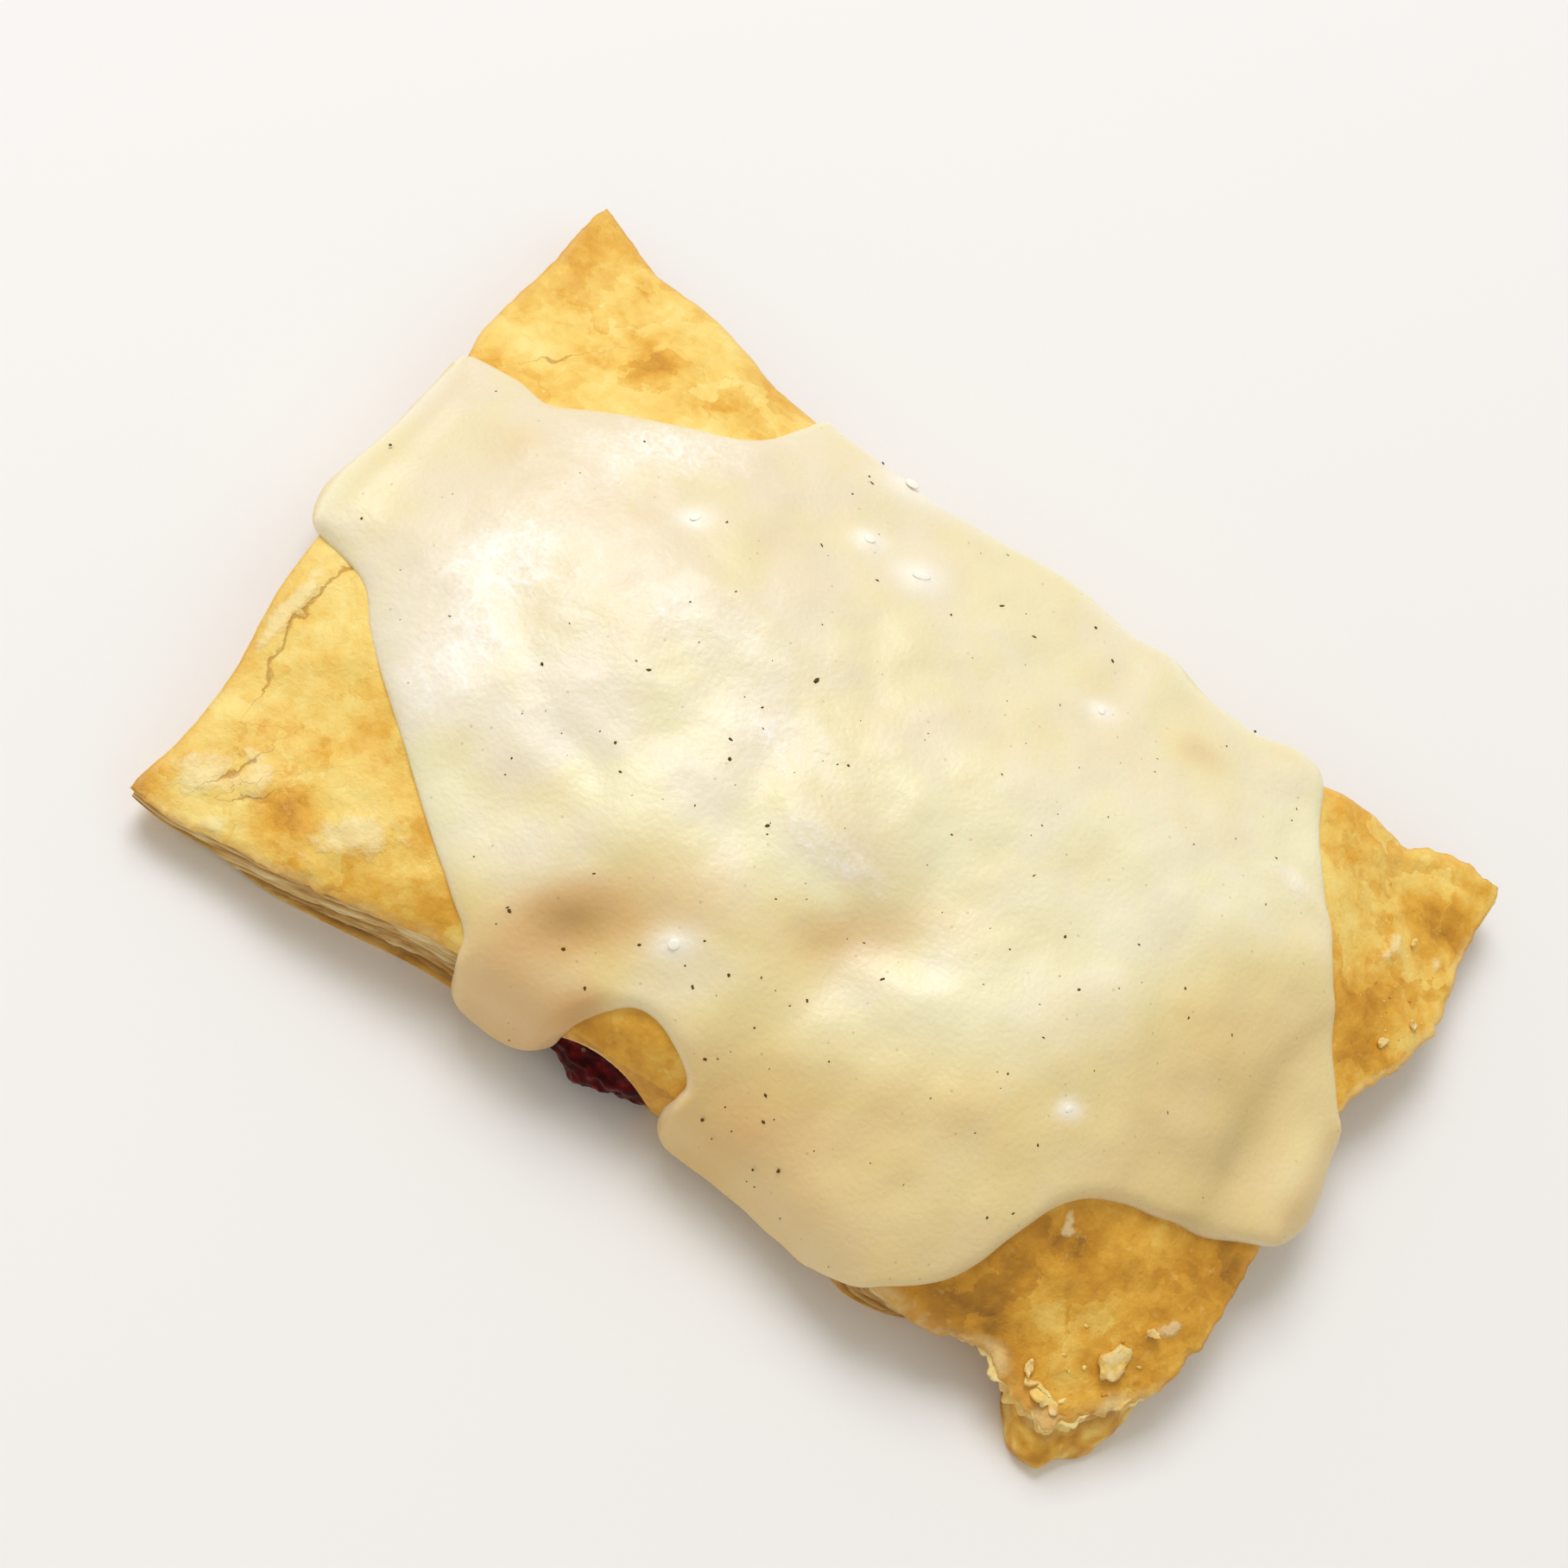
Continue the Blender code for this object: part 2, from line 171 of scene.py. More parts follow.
# the shape of the two sheets of dough, in mm: x along, y across, and the height of the top sheet's lip

sheet = {
    "near": [(-60.3, -46.3, 6.5), (-55, -45.6, 6.2), (-49, -44.6, 7.0), (-42, -44.2, 8.8), (-34, -42.6, 10.2),
             (-24, -40.6, 11.8), (-12, -40.0, 12.4), (-3, -39.8, 13.2), (6, -38.8, 12.2), (22, -39.3, 11.8),
             (34, -41.3, 9.4), (40, -40.8, 8.3), (46, -38.8, 8.0), (50.5, -40.6, 7.2), (56.4, -40.9, 6.8)],
    "far": [(-62.4, 44.6, 6.0), (-57, 42.4, 6.3), (-52, 40.4, 7.3), (-45, 39.6, 9.0), (-39, 37.8, 10.3),
            (-32, 35.6, 11.4), (-16, 34.4, 12.8), (6, 35.2, 13.2), (28, 34.8, 13.0), (38, 36.0, 12.6),
            (44, 38.2, 11.6), (49, 39.4, 10.2), (54, 39.6, 8.5), (58, 43.0, 7.2), (66.3, 44.4, 6.5)],
    "left": [(-60.3, -46.3, 6.5), (-58.8, -38.5, 7.2), (-59.2, -29, 8.0), (-61.0, -19, 9.6), (-61.6, -5, 10.8),
             (-61.3, 12, 10.2), (-62.8, 21, 9.0), (-62.2, 34, 7.0), (-62.4, 44.6, 6.0)],
    "right": [(56.4, -40.9, 6.8), (60.8, -34.8, 6.9), (64.0, -27.5, 7.8), (64.4, -18, 8.9), (63.4, -5, 9.8),
              (63.2, 7.5, 9.9), (66.8, 19, 8.7), (67.2, 27, 7.4), (65.8, 36, 6.5), (66.3, 44.4, 6.5)],
    "puff": 8.0,
    "waves": 0.5,
    "cornerLifts": [(-60.3, -46.3, 3.3), (-62.4, 44.6, 3.0), (66.3, 44.4, 2.6)],  # x, y, how far it curls up
    "liftReach": 26.0,
    "length": 128.0, "width": 84.0,  # round sizes along the dough's skin
}
sides = {name: smoothLine(sheet[name], 401) for name in ("near", "far", "left", "right")}
allEdges = np.vstack(list(sides.values()))
edgeLow, edgeHigh = allEdges[:, :2].min(axis=0), allEdges[:, :2].max(axis=0)
stretch = (pastryBox[1] - pastryBox[0])[:2] / (edgeHigh - edgeLow)


def toFrame(x, y, z):
    # the outline above fitted to the pastry's box
    return np.stack([(x - edgeLow[0]) * stretch[0] + pastryBox[0][0],
                     (y - edgeLow[1]) * stretch[1] + pastryBox[0][1],
                     z + pastryBox[0][2] + np.zeros_like(x)], axis=-1)


def onSide(name, t):
    at = np.clip(t, 0, 1) * 400
    return [np.interp(at, np.arange(401), column) for column in sides[name].T]


def sheetAt(u, v):
    near, far, left, right = onSide("near", u), onSide("far", u), onSide("left", v), onSide("right", v)
    corner = [sides["near"][0], sides["near"][-1], sides["far"][0], sides["far"][-1]]
    x, y, z = [(1 - v) * near[i] + v * far[i] + (1 - u) * left[i] + u * right[i]
               - ((1 - u) * (1 - v) * corner[0][i] + u * (1 - v) * corner[1][i]
                  + (1 - u) * v * corner[2][i] + u * v * corner[3][i]) for i in range(3)]
    swell = ((1 - np.abs(2 * u - 1) ** 3.0) ** 0.95 * (1 - np.abs(2 * v - 1) ** 2.6) ** 0.78)
    wave = np.sin(x / 9 + 0.6) * np.cos(y / 8 - 0.4) + 0.6 * np.sin(x / 5.2 - y / 6.1)
    return x, y, z + swell * (sheet["puff"] + sheet["waves"] * wave)


def baseHeight(x, y):
    return sum(lift * np.maximum(0, 1 - np.hypot(x - cx, y - cy) / sheet["liftReach"]) ** 2
               for cx, cy, lift in sheet["cornerLifts"])


# the lip as one closed loop, s = 0 to 4 round the four sides, with the way out from it
loopS = np.linspace(0, 4, 4000, endpoint=False)
loopU = np.interp(loopS, [0, 1, 2, 3, 4], [0, 1, 1, 0, 0])
loopV = np.interp(loopS, [0, 1, 2, 3, 4], [0, 0, 1, 1, 0])
loopX, loopY, loopZ = sheetAt(loopU, loopV)
tangent = np.stack([np.roll(loopX, -18) - np.roll(loopX, 18), np.roll(loopY, -18) - np.roll(loopY, 18)])
tangent /= np.linalg.norm(tangent, axis=0)


def loopPlace(u, v):
    # the place round the lip of a point on the sheet's edge or past it
    return np.where(v <= 0, u, np.where(u >= 1, 1 + v, np.where(v >= 1, 3 - u, np.where(u <= 0, 4 - v, u)))) % 4


def wayOut(s):
    return (np.interp(s, loopS, tangent[1], period=4), np.interp(s, loopS, -tangent[0], period=4))


print("dough outline ready")


# the baked crust: top sheet, cut side with its layers, and underside

crust = {
    "columns": 264, "rows": 184, "crowding": 0.5,  # the mesh is finest near the corners
    "sideRings": 42, "baseInsets": [0.985, 0.97, 0.95, 0.92, 0.86],
    "lipThick": 1.0, "lipBead": 0.35, "grooveDepth": 1.5,
    "layerThick": 0.45, "layerRelief": 0.5,
    "blunt": [(-60.3, -46.3, 0.8), (-62.4, 44.6, 0.6), (66.3, 44.4, 1.3)],  # corner, and how far it's rounded back
    "foot": [(0.93, 0, 0), (0.955, 0.9, -1.0), (0.978, 1.4, -2.9), (1.0, 1.9, -2.4), (1.035, 3.2, -0.9),
             (1.075, 2.6, -0.5), (1.13, 0.7, 0), (1.17, 0, 0)],  # place round the lip, and its bottom sheet's run-out
    "tuck": [(0.38, 0), (0.43, 1.6), (0.56, 1.6), (0.62, 0), (0.78, 0), (0.86, 3.0), (0.925, 3.2), (0.955, 1.2),
             (0.975, 0)],  # where the side leans in under the lip
    "ragged": [(0, 0.2), (0.06, 0.5), (0.2, 0.5), (0.3, 0.15), (0.80, 0.15), (0.90, 0.5), (1.0, 0.9), (1.12, 0.7), (1.3, 0.2), (1.45, 0.5), (1.8, 0.7),
               (1.93, 0.3), (2.05, 0.5), (2.15, 0.15), (4, 0.1)],
    "ridge": [(51.5, 35.8), (54.0, 38.4), (56.2, 40.2), (60.2, 42.0), (64.0, 43.4)], "ridgeHeight": 0.3,
    "ridgeWidth": 1.1,
    "paleRim": [(0, 0.3), (0.05, 0.6), (0.75, 0.6), (0.86, 1.0), (1.09, 1.0), (1.16, 0.15), (1.5, 0.15), (1.62, 0.6),
                (1.88, 0.6), (1.96, 0.1), (2.1, 0.2), (2.4, 0.2), (3, 0.3), (3.9, 0.3), (4, 0.3)],
    "cracks": [[(-56.0, -29.3), (-57.0, -24.3), (-57.7, -21.2), (-57.3, -18.0), (-58.0, -14.2), (-55.6, -12.8)],
               [(-53.6, -40.4), (-52.2, -38.2), (-51.6, -36.4)], [(-50.6, -40.8), (-49.0, -39.4)],
               [(-55.4, 21.6), (-54.0, 23.2)]],
    "flakes": [(-55.0, -40.2, 3.8, 2.7, 40), (-50.6, -37.4, 1.5, 3.2, 40), (-59.0, -20.5, 1.2, 6.5, 0),
               (-38.5, -37.9, 4.6, 2.4, 40), (58.5, 27.5, 0.9, 2.6, 0),
               (64.0, 30.5, 0.8, 1.3, 0), (44.9, -25.1, 0.8, 1.9, 40), (60.8, -25.2, 1.6, 0.9, 60)],
    # browning, and painted shade where the icing's edge and the mouth's hood would shade the crust: x, y, reach along,
    # reach across, strength, and a turn for some
    "bakingAndShade": [(-45.3, -40.2, 3.6, 3.8, 0.38), (-46, -31.8, 4.0, 1.8, 0.14, 60), (-42.5, -28.5, 4, 3, 0.12),
               (-34.5, -41, 4, 3, 0.12), (-27, -39.5, 4, 3, 0.18), (-60, -45.5, 3.2, 3.2, 0.36),
               (-45.4, 28, 4.0, 3.0, 0.16), (-60, 42, 24, 16, 0.09), (-54, -36, 12, 7, -0.06),
               (55, 25, 22, 26, 0.06), (62, 35.6, 5.0, 3.4, 0.36, 30),
               (57.5, 21, 5, 6, 0.16), (60, 13, 5, 6, 0.2), (56, -36, 26, 26, 0.28), (61.5, -17, 6, 5, 0.36),
               (43.5, -28.5, 7, 4, 0.26, 50), (52.5, -31, 4, 4, -0.10), (42, -38, 8, 4, 0.2),
               (-2, -38, 12, 5, 0.30)],
    "mouthMiddle": -4.2, "mouthHalf": 7.2, "mouthFloor": 0.2, "mouthTop": 10.8, "mouthDepth": 7.0,
    "hood": 0.6,  # how far the crust bellies out over the mouth
}


def crowd(t, times=1):
    # moves the mesh's lines together at both ends, and with times=2 in the middle as well
    return t - crust["crowding"] / (2 * math.pi * times) * np.sin(2 * math.pi * times * t)


def byPlace(name, s, column=1):
    rows = np.array(crust[name], float)
    return np.interp(s, rows[:, 0], rows[:, column])


def lineDistance(x, y, points, signed=False):
    # how far from a line of points; signed: less than nothing on its right side
    best = np.full(np.shape(x), 1e9)
    for (x0, y0), (x1, y1) in zip(points, points[1:]):
        t = np.clip(((x - x0) * (x1 - x0) + (y - y0) * (y1 - y0)) / ((x1 - x0) ** 2 + (y1 - y0) ** 2), 0, 1)
        away = np.hypot(x - x0 - t * (x1 - x0), y - y0 - t * (y1 - y0))
        if signed:
            away *= np.where((x - x0) * (y1 - y0) > (y - y0) * (x1 - x0), -1, 1)
        best = np.where(np.abs(away) < np.abs(best), away, best)
    return best


def crustRelief(x, y):
    # swells, blisters, lifted flakes and cracks of the top sheet, in mm, and where the flakes and cracks lie
    swell = 0.35 * lumps(x, y, 0, 12, 1, 1)
    blister = 0.38 * lumps(x, y, 0, 4.2, 2, 2)
    body = np.max([blob(x, y, (cx, cy, rx, ry, 1, turn)) for cx, cy, rx, ry, turn in crust["flakes"]], axis=0)
    flake = ramp(0.3, 0.7, body)
    step = ramp(0.30, 0.34, lumps(x, y, 5, 6.0, 4, 4))
    wx, wy = x + 0.7 * lumps(x, y, 3, 2.4, 5, 2), y + 0.7 * lumps(x, y, 13, 2.4, 5, 2)
    away = [lineDistance(wx, wy, line, signed=True) for line in crust["cracks"]]
    crackAway = np.choose(np.argmin(np.abs(away), axis=0), away)
    crack = 1 - ramp(0.1, 0.7, np.abs(crackAway))
    ridgeAway = lineDistance(x, y, crust["ridge"])
    ridge = crust["ridgeHeight"] * np.exp(-(ridgeAway / crust["ridgeWidth"]) ** 2)
    height = swell + blister + 0.16 * flake + 0.10 * step - 0.2 * crack + ridge
    return height, body, crackAway, blister / 0.38


def overMouth(s):
    # 1 along the lip over the mouth, where the crust runs down in one sweep
    across = (np.interp(s, loopS, loopX, period=4) - crust["mouthMiddle"]) / crust["mouthHalf"]
    return (1 - ramp(1.05, 1.7, np.abs(across - 0.15))) * (s < 1)


def lipAt(s):
    return [np.interp(s, loopS, line, period=4) for line in (loopX, loopY, loopZ)]


def layeredSide(s, share):
    lipX, lipY, lipZ = lipAt(s)
    low = baseHeight(lipX, lipY)
    tall = lipZ - low
    thin = np.clip(tall / 12, 0.25, 1)
    depth = share * tall
    lip = crust["lipThick"] * (0.4 + 0.6 * thin)
    rim = 0.9 * (0.4 + 0.6 * thin)
    bead = crust["lipBead"] * np.sin(np.pi * np.clip(depth / lip, 0, 1))
    recess = ramp(0, 1, (depth - lip) / 0.6) * (1 - ramp(0, 1, (depth - (tall - rim)) / 0.5))
    lean = crust["grooveDepth"] * thin * (1 - 0.45 * share)
    sag = 0.8 * lumps(lipX, lipY, 0, 9, 6, 2)
    layers = lumps(lipX / 8, lipY / 8, (depth + sag) / crust["layerThick"], 1.0, 7, 2)
    layers += 0.6 * lumps(lipX / 2.4, lipY / 2.4, (depth + sag) / 0.3, 1.0, 8, 1)
    footX, footY = byPlace("foot", s, 1), byPlace("foot", s, 2)
    folded = np.clip(np.hypot(footX, footY) / 2, 0, 1) * ramp(0.25, 0.45, share)
    folds = lumps(lipX, lipY, depth * 0.6, 2.8, 9, 2)
    stand = bead - recess * (lean - crust["layerRelief"] * layers * thin) * (1 - folded)
    stand += 1.0 * folds * folded - byPlace("tuck", s) * share - 0.5 * ramp(0.93, 1.0, share)
    stand += byPlace("ragged", s) * lumps(lipX, lipY, 0, 1.8, 12, 3) * (1 - ramp(0, 0.35, share))
    hood = overMouth(s)
    stand = stand * (1 - hood) + hood * (crust["hood"] * np.sin(np.pi * share) - byPlace("tuck", s) * share**2)
    recess = recess * (1 - hood)
    outX, outY = wayOut(s)
    reach = ramp(0.15, 0.75, share)
    px = lipX + outX * stand + footX * reach
    py = lipY + outY * stand + footY * reach
    pz = lipZ - depth - 1.1 * hood * (1 - ramp(0.1, 0.7, share))
    across = (lipX - crust["mouthMiddle"]) / crust["mouthHalf"]
    arch = crust["mouthFloor"] + (crust["mouthTop"] - crust["mouthFloor"]) * np.sqrt(np.clip(1 - across**2, 0, 1))
    inside = ramp(0.0, 0.9, arch - pz) * ramp(0.0, 0.4, pz - crust["mouthFloor"]) * (s < 1) * (np.abs(across) < 1)
    py += crust["mouthDepth"] * inside
    brim = (1 - ramp(0.3, 0.9, np.abs(pz - arch))) * (np.abs(across) < 1) * (s < 1)
    mouthEdge = (1 - ramp(0.8, 1.5, np.hypot(across, (pz - crust["mouthFloor"]) / 10))) * (s < 1)
    # painted shade: the streaks are darkened just under the lip and towards the foot, where shade falls
    dark = 0.45 * (1 - ramp(0.5, 1.6, depth - lip)) + 0.2 * ramp(0.6, 1.0, share)
    return px, py, pz, recess * (1 - folded), layers - 2 * dark, brim, mouthEdge


def makeCrust():
    startMesh()
    bpy.ops.mesh.primitive_grid_add(x_subdivisions=crust["columns"], y_subdivisions=crust["rows"], size=1,
                                    location=(0.5, 0.5, 0))
    bpy.ops.object.transform_apply(location=True)
    piece = newPiece("crust")
    bpy.ops.object.mode_set(mode="EDIT")
    bpy.ops.mesh.select_mode(type="EDGE")
    bpy.ops.mesh.select_all(action="SELECT")
    bpy.ops.mesh.region_to_loop()
    for ring in range(crust["sideRings"]):  # a flat pattern first: each ring one step lower
        bpy.ops.mesh.extrude_edges_move(TRANSFORM_OT_translate={"value": (0, 0, -1)})
    for inset in crust["baseInsets"]:
        bpy.ops.mesh.extrude_edges_move()
        bpy.ops.transform.resize(value=(inset, inset, 1), center_override=(0.5, 0.5, 0))
    bpy.ops.mesh.edge_face_add()
    bpy.ops.object.mode_set(mode="OBJECT")

    pattern = readPoints(piece)
    flat = np.clip(pattern[:, :2], 0, 1)
    u, v, ring = crowd(flat[:, 0], 2), crowd(flat[:, 1]), np.round(-pattern[:, 2])
    spread = 2 * np.abs(flat - 0.5).max(axis=1)
    top = ring == 0
    base = (ring == crust["sideRings"]) & (spread < 0.9999)
    side = ~top & ~base
    x, y, z = sheetAt(u, v)
    relief, flake, crack, blister = np.zeros((4, len(x)))
    crack += 9
    relief[top], flake[top], crack[top], blister[top] = crustRelief(x[top], y[top])
    away = np.stack([v * sheet["width"], (1 - u) * sheet["length"], (1 - v) * sheet["width"], u * sheet["length"]])
    fromLip = away.min(axis=0)
    z = z + relief * ramp(-0.8, 2.5, fromLip)
    s = np.choose(away.argmin(axis=0), [u, 1 + v, 3 - u, 4 - v])
    outX, outY = wayOut(s)
    rag = byPlace("ragged", s) * (1 - ramp(0, 2.5, fromLip)) * top
    rag[top] *= lumps(x[top], y[top], 0, 1.8, 12, 3)
    x, y = x + outX * rag, y + outY * rag
    z -= 1.1 * overMouth(s) * (1 - ramp(0, 3.5, fromLip)) * top

    share = (ring / crust["sideRings"]) ** 1.25
    recess, layers = np.zeros((2, len(x)))
    mouthEdge = np.zeros(len(x))
    x[side], y[side], z[side], recess[side], layers[side], flake[side], mouthEdge[side] = layeredSide(
        s[side], share[side])

    # the underside keeps to the foot of the sides, each side counting more the nearer it is
    moved, total = np.zeros((2, base.sum())), 0
    for gap, place in zip(away[:, base], (u[base], 1 + v[base], 3 - u[base], 4 - v[base])):
        nearness = 1 / (gap + 0.5) ** 2
        moved += nearness * (np.array(layeredSide(place, np.ones(len(gap)))[:2]) - lipAt(place)[:2])
        total = total + nearness
    x[base], y[base] = np.array([x[base], y[base]]) + moved / total * ramp(0.7, 1.0, spread[base])
    z[base] = baseHeight(x[base], y[base])
    for cx, cy, back in crust["blunt"]:
        pull = back * np.maximum(0, 1 - np.hypot(x - cx, y - cy) / 6) ** 2 / math.hypot(cx, cy)
        x, y = x - cx * pull, y - cy * pull
    writePoints(piece, toFrame(x, y, z))
    smoothPart(piece, "mouthEdge", mouthEdge, 0.5, 5)

    footPart = (side | base) * ramp(0.93, 0.96, s) * ramp(1.16, 1.12, s)
    # the baked value is browning, with painted shade from some of the spots in the baking list
    bakedAndShade = 0.33 + 0.10 * lumps(x, y, z, 12, 11, 2) - 0.09 * blister + sum(blob(x, y, spot) for spot in crust["bakingAndShade"])
    bakedAndShade += 0.08 * (side | base) + footPart * (0.3 * lumps(x, y, z, 2.2, 14, 2) - 0.2)
    writeValues(piece, "bakedAndShade", bakedAndShade)
    writeValues(piece, "flake", flake)
    writeValues(piece, "crackAway", crack)
    writeValues(piece, "recess", recess)
    # the layers value holds the layer streaks and the painted shade under the lip and at the foot
    writeValues(piece, "layers", 0.5 + 0.5 * layers)
    paleness = byPlace("paleRim", s)
    rim = np.where(top, 1 - ramp(0.1, 0.8 + 1.8 * ramp(0.6, 1.0, paleness), fromLip), 1 - ramp(0.0, 0.10, share))
    writeValues(piece, "rim", rim * paleness * (1 - overMouth(s)))
    faceOutwards(piece)
    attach(piece, "root")
    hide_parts("pastry")
    return piece


crustPiece = makeCrust()
print("crust made:", len(crustPiece.data.vertices), "points")


# the berry filling that shows in the mouth

def makeFilling():
    startMesh()
    bpy.ops.mesh.primitive_uv_sphere_add(segments=160, ring_count=80, radius=1)
    piece = newPiece("berryFilling")
    p = readPoints(piece)
    x = crust["mouthMiddle"] + p[:, 0] * 8.9
    y = -34.7 + p[:, 1] * 6.3
    z = 5.3 + p[:, 2] * 5.3
    knob = lumps(x, y, z, 3.2, 21, 3)
    knob2 = lumps(x, y, z, 1.3, 22, 2)
    push = 0.9 * knob + 0.3 * knob2
    x, y, z = x + p[:, 0] * push, y + p[:, 1] * push, np.maximum(z + p[:, 2] * push, 0.4)
    writePoints(piece, toFrame(x, y, z))
    faceOutwards(piece)
    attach(piece, "root")
    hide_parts("filling")
    return piece


fillingPiece = makeFilling()
print("filling made")


# the poured icing

icing = {
    # its edge on the dough's skin, as shares of the sheet; past 0 or 1 it hangs down the side
    "edge": [(0.05, 0.71), (0.09, 0.71), (0.142, 0.753), (0.194, 0.811), (0.246, 0.882), (0.268, 0.96), (0.29, 1.06),
             (0.36, 1.10), (0.44, 1.06), (0.52, 1.09), (0.61, 1.11), (0.70, 1.05), (0.755, 1.07), (0.79, 1.02),
             (0.82, 0.91), (0.843, 0.829), (0.882, 0.738), (0.938, 0.645), (0.985, 0.583), (1.025, 0.52),
             (1.04, 0.44), (1.015, 0.38), (0.978, 0.341), (0.947, 0.311), (0.909, 0.286), (0.874, 0.279),
             (0.845, 0.262), (0.827, 0.24), (0.814, 0.206), (0.808, 0.157), (0.811, 0.104), (0.81, 0.058),
             (0.797, 0.01), (0.765, -0.045), (0.73, -0.085), (0.68, -0.105), (0.62, -0.11), (0.575, -0.115),
             (0.555, -0.09), (0.55, -0.045), (0.553, 0.0), (0.543, 0.022), (0.516, 0.045), (0.482, 0.065),
             (0.458, 0.064), (0.447, 0.036), (0.441, -0.03), (0.438, -0.08), (0.42, -0.112), (0.39, -0.124),
             (0.355, -0.115), (0.335, -0.085), (0.328, -0.03), (0.318, 0.013), (0.275, 0.058), (0.214, 0.13),
             (0.163, 0.197), (0.121, 0.254), (0.086, 0.308), (0.062, 0.352), (0.035, 0.37), (-0.01, 0.385),
             (-0.045, 0.44), (-0.052, 0.52), (-0.045, 0.60), (-0.02, 0.675)],
    "edgePoints": 720, "meshStep": 0.55, "underStep": 2.5,
    "borderSteps": [0.0, 0.07, 0.18, 0.33, 0.52, 0.76, 1.05, 1.4, 1.8, 2.3],
    "thick": 1.75, "roundWidth": 2.0, "sink": 0.9, "softReach": 3.4,
    "soft": [(-46, -26, 20, 15), (-44, 24, 20, 12), (-8, -38.5, 3, 3)],  # where its edge runs out thin: x, y, reach along both
    "keyLightWay": (-0.42, 0.34, 0.84),  # painted shade: its colour deepens as it turns away from the key light, which shines from here
    "shade": [(52, -6, 9, 13, 0.32), (53, -22, 10, 8, 0.18), (5, -11, 7, 6, -0.3)],  # more painted shade here, or lighter where the amount is below nothing: x, y, reach along both, how much
    "thin": [(-15.7, -32.5, 5.0, 3.0, 0.5, 40), (-15, -40.5, 9, 5, 0.3), (-11, -29, 10, 4.5, 0.34, 40), (9.5, -16.2, 8.5, 4.2, 0.42, 40),
             (9, -36, 8, 6, 0.36, 40), (20, -33, 9, 6, 0.2, 40), (31, -22, 7, 5, 0.12), (27, 26, 5, 3.5, 0.25, 40), (-8, -38.5, 3, 2.5, 0.4, 40),
             (-38, 5, 8, 4, 0.10, 40), (-51, 5, 6, 3, 0.12, 60)],  # the crust shows through here
    "paintedSheen": [(-38, 15.8, 11, 5, 0.6, 40), (-43.5, -5, 5, 9, 0.6, -25), (-40.6, -18.5, 5, 8, 0.6),
              (-21.4, -0.5, 9, 4, 0.45, 10), (-9.9, -6.8, 9, 4, 0.55, 15), (0.9, -12.4, 7, 2.4, 0.6, 4),
              (44, 21, 3.5, 2, 0.5, 10), (-35, -6, 12, 14, 0.25)],  # painted sheen: whiter, grainy patches where the key light's reflection falls
    "humps": [(-15, 32, 4, 2.5, 0.5), (8, 37, 8, 3, 1.0), (45, 5, 12, 12, 0.5), (-28, 2, 17, 11, 0.8, 40),
              (-16, -32, 6, 4, -0.7, 40), (9.5, -16.5, 8, 4, -0.65, 40), (-3, -24, 4, 4, 0.5), (24, -20, 12, 8, 0.2, 40),
              (9, -36, 6, 4, -0.4, 40), (-52, 8, 5, 4, 0.5), (65, -4, 4, 7, 2.2), (18, -42, 14, 3, 0.6),
              (0, -11, 7, 3, 0.5, 4), (19.4, 34, 3.5, 3, 1.5), (37.5, 35, 4, 3, 1.8),
              (-62, -6, 3, 6, 1.2)],  # where it stands higher or lower
    "folds": [([(-62.2, 15.2), (-60.8, 10.3), (-59.9, 2.9), (-60.8, -5.3)], 0.4, 1.6),
              ([(-26.6, 3.4), (-21.6, 4.1), (-17.4, 3.6)], 0.4, 1.5),
              ([(-41.1, -8.6), (-34.9, -13.1), (-29.5, -17.5), (-22.6, -19.5)], -0.45, 2.0),
              ([(-42.9, 10.4), (-45.8, 0.1), (-45.4, -9.8)], 0.45, 2.2), ([(44.5, 21.5), (50.7, 20.5)], 0.5, 1.3),
              ([(14, 6), (24, 10), (33, 8)], 0.35, 2.2), ([(-4, 4), (-10, 13), (-22, 19)], -0.4, 2.5),
              ([(34, -4), (43, -10), (52, -9)], 0.4, 2.2)],  # lines, how high they stand, and half their width
    "easeReach": 3.4, "easeSteps": 45,
    "specks": 170, "speckPlaces": [(-2, -4), (-10, 2), (-21, -35), (-14, -35), (-6, -40), (1, -28), (-1, -31),
                                   (4, -35), (9, -37), (8, -38.6), (13, -36), (14, -19)],
    "lumps": [(-15, 33, 1.6), (-8, 21.4, 1.5), (-14.8, 21.6, 1.2), (-30.4, 9.8, 1.0), (-5.2, -28.7, 1.1),
              (36.7, -17.4, 0.7), (16.2, 21.9, 1.0)],  # x, y, half its width
}


def skinAt(a, b):
    # a, b in mm along the dough's skin; past the lip the skin goes on down the side
    u, v = a / sheet["length"], b / sheet["width"]
    cu, cv = np.clip(u, 0, 1), np.clip(v, 0, 1)
    x, y, z = sheetAt(cu, cv)
    past = np.hypot((u - cu) * sheet["length"], (v - cv) * sheet["width"])
    outX, outY = wayOut(loopPlace(np.where(past > 0, u, cu), np.where(past > 0, v, cv)))
    bulge = 0.5 * (1 - np.exp(-past / 1.2)) * (past > 0)
    return x + outX * bulge, y + outY * bulge, z - past * (1 - 0.2 * np.exp(-past / 1.5)), past


def skinNormal(a, b):
    h = 0.5
    dx = np.stack(skinAt(a + h, b)[:3]) - np.stack(skinAt(a - h, b)[:3])
    dy = np.stack(skinAt(a, b + h)[:3]) - np.stack(skinAt(a, b - h)[:3])
    n = np.cross(dx.T, dy.T)
    return n / np.linalg.norm(n, axis=1)[:, None]


icingEdge = smoothLine([(a * sheet["length"], b * sheet["width"]) for a, b in icing["edge"]],
                       icing["edgePoints"], closed=True)


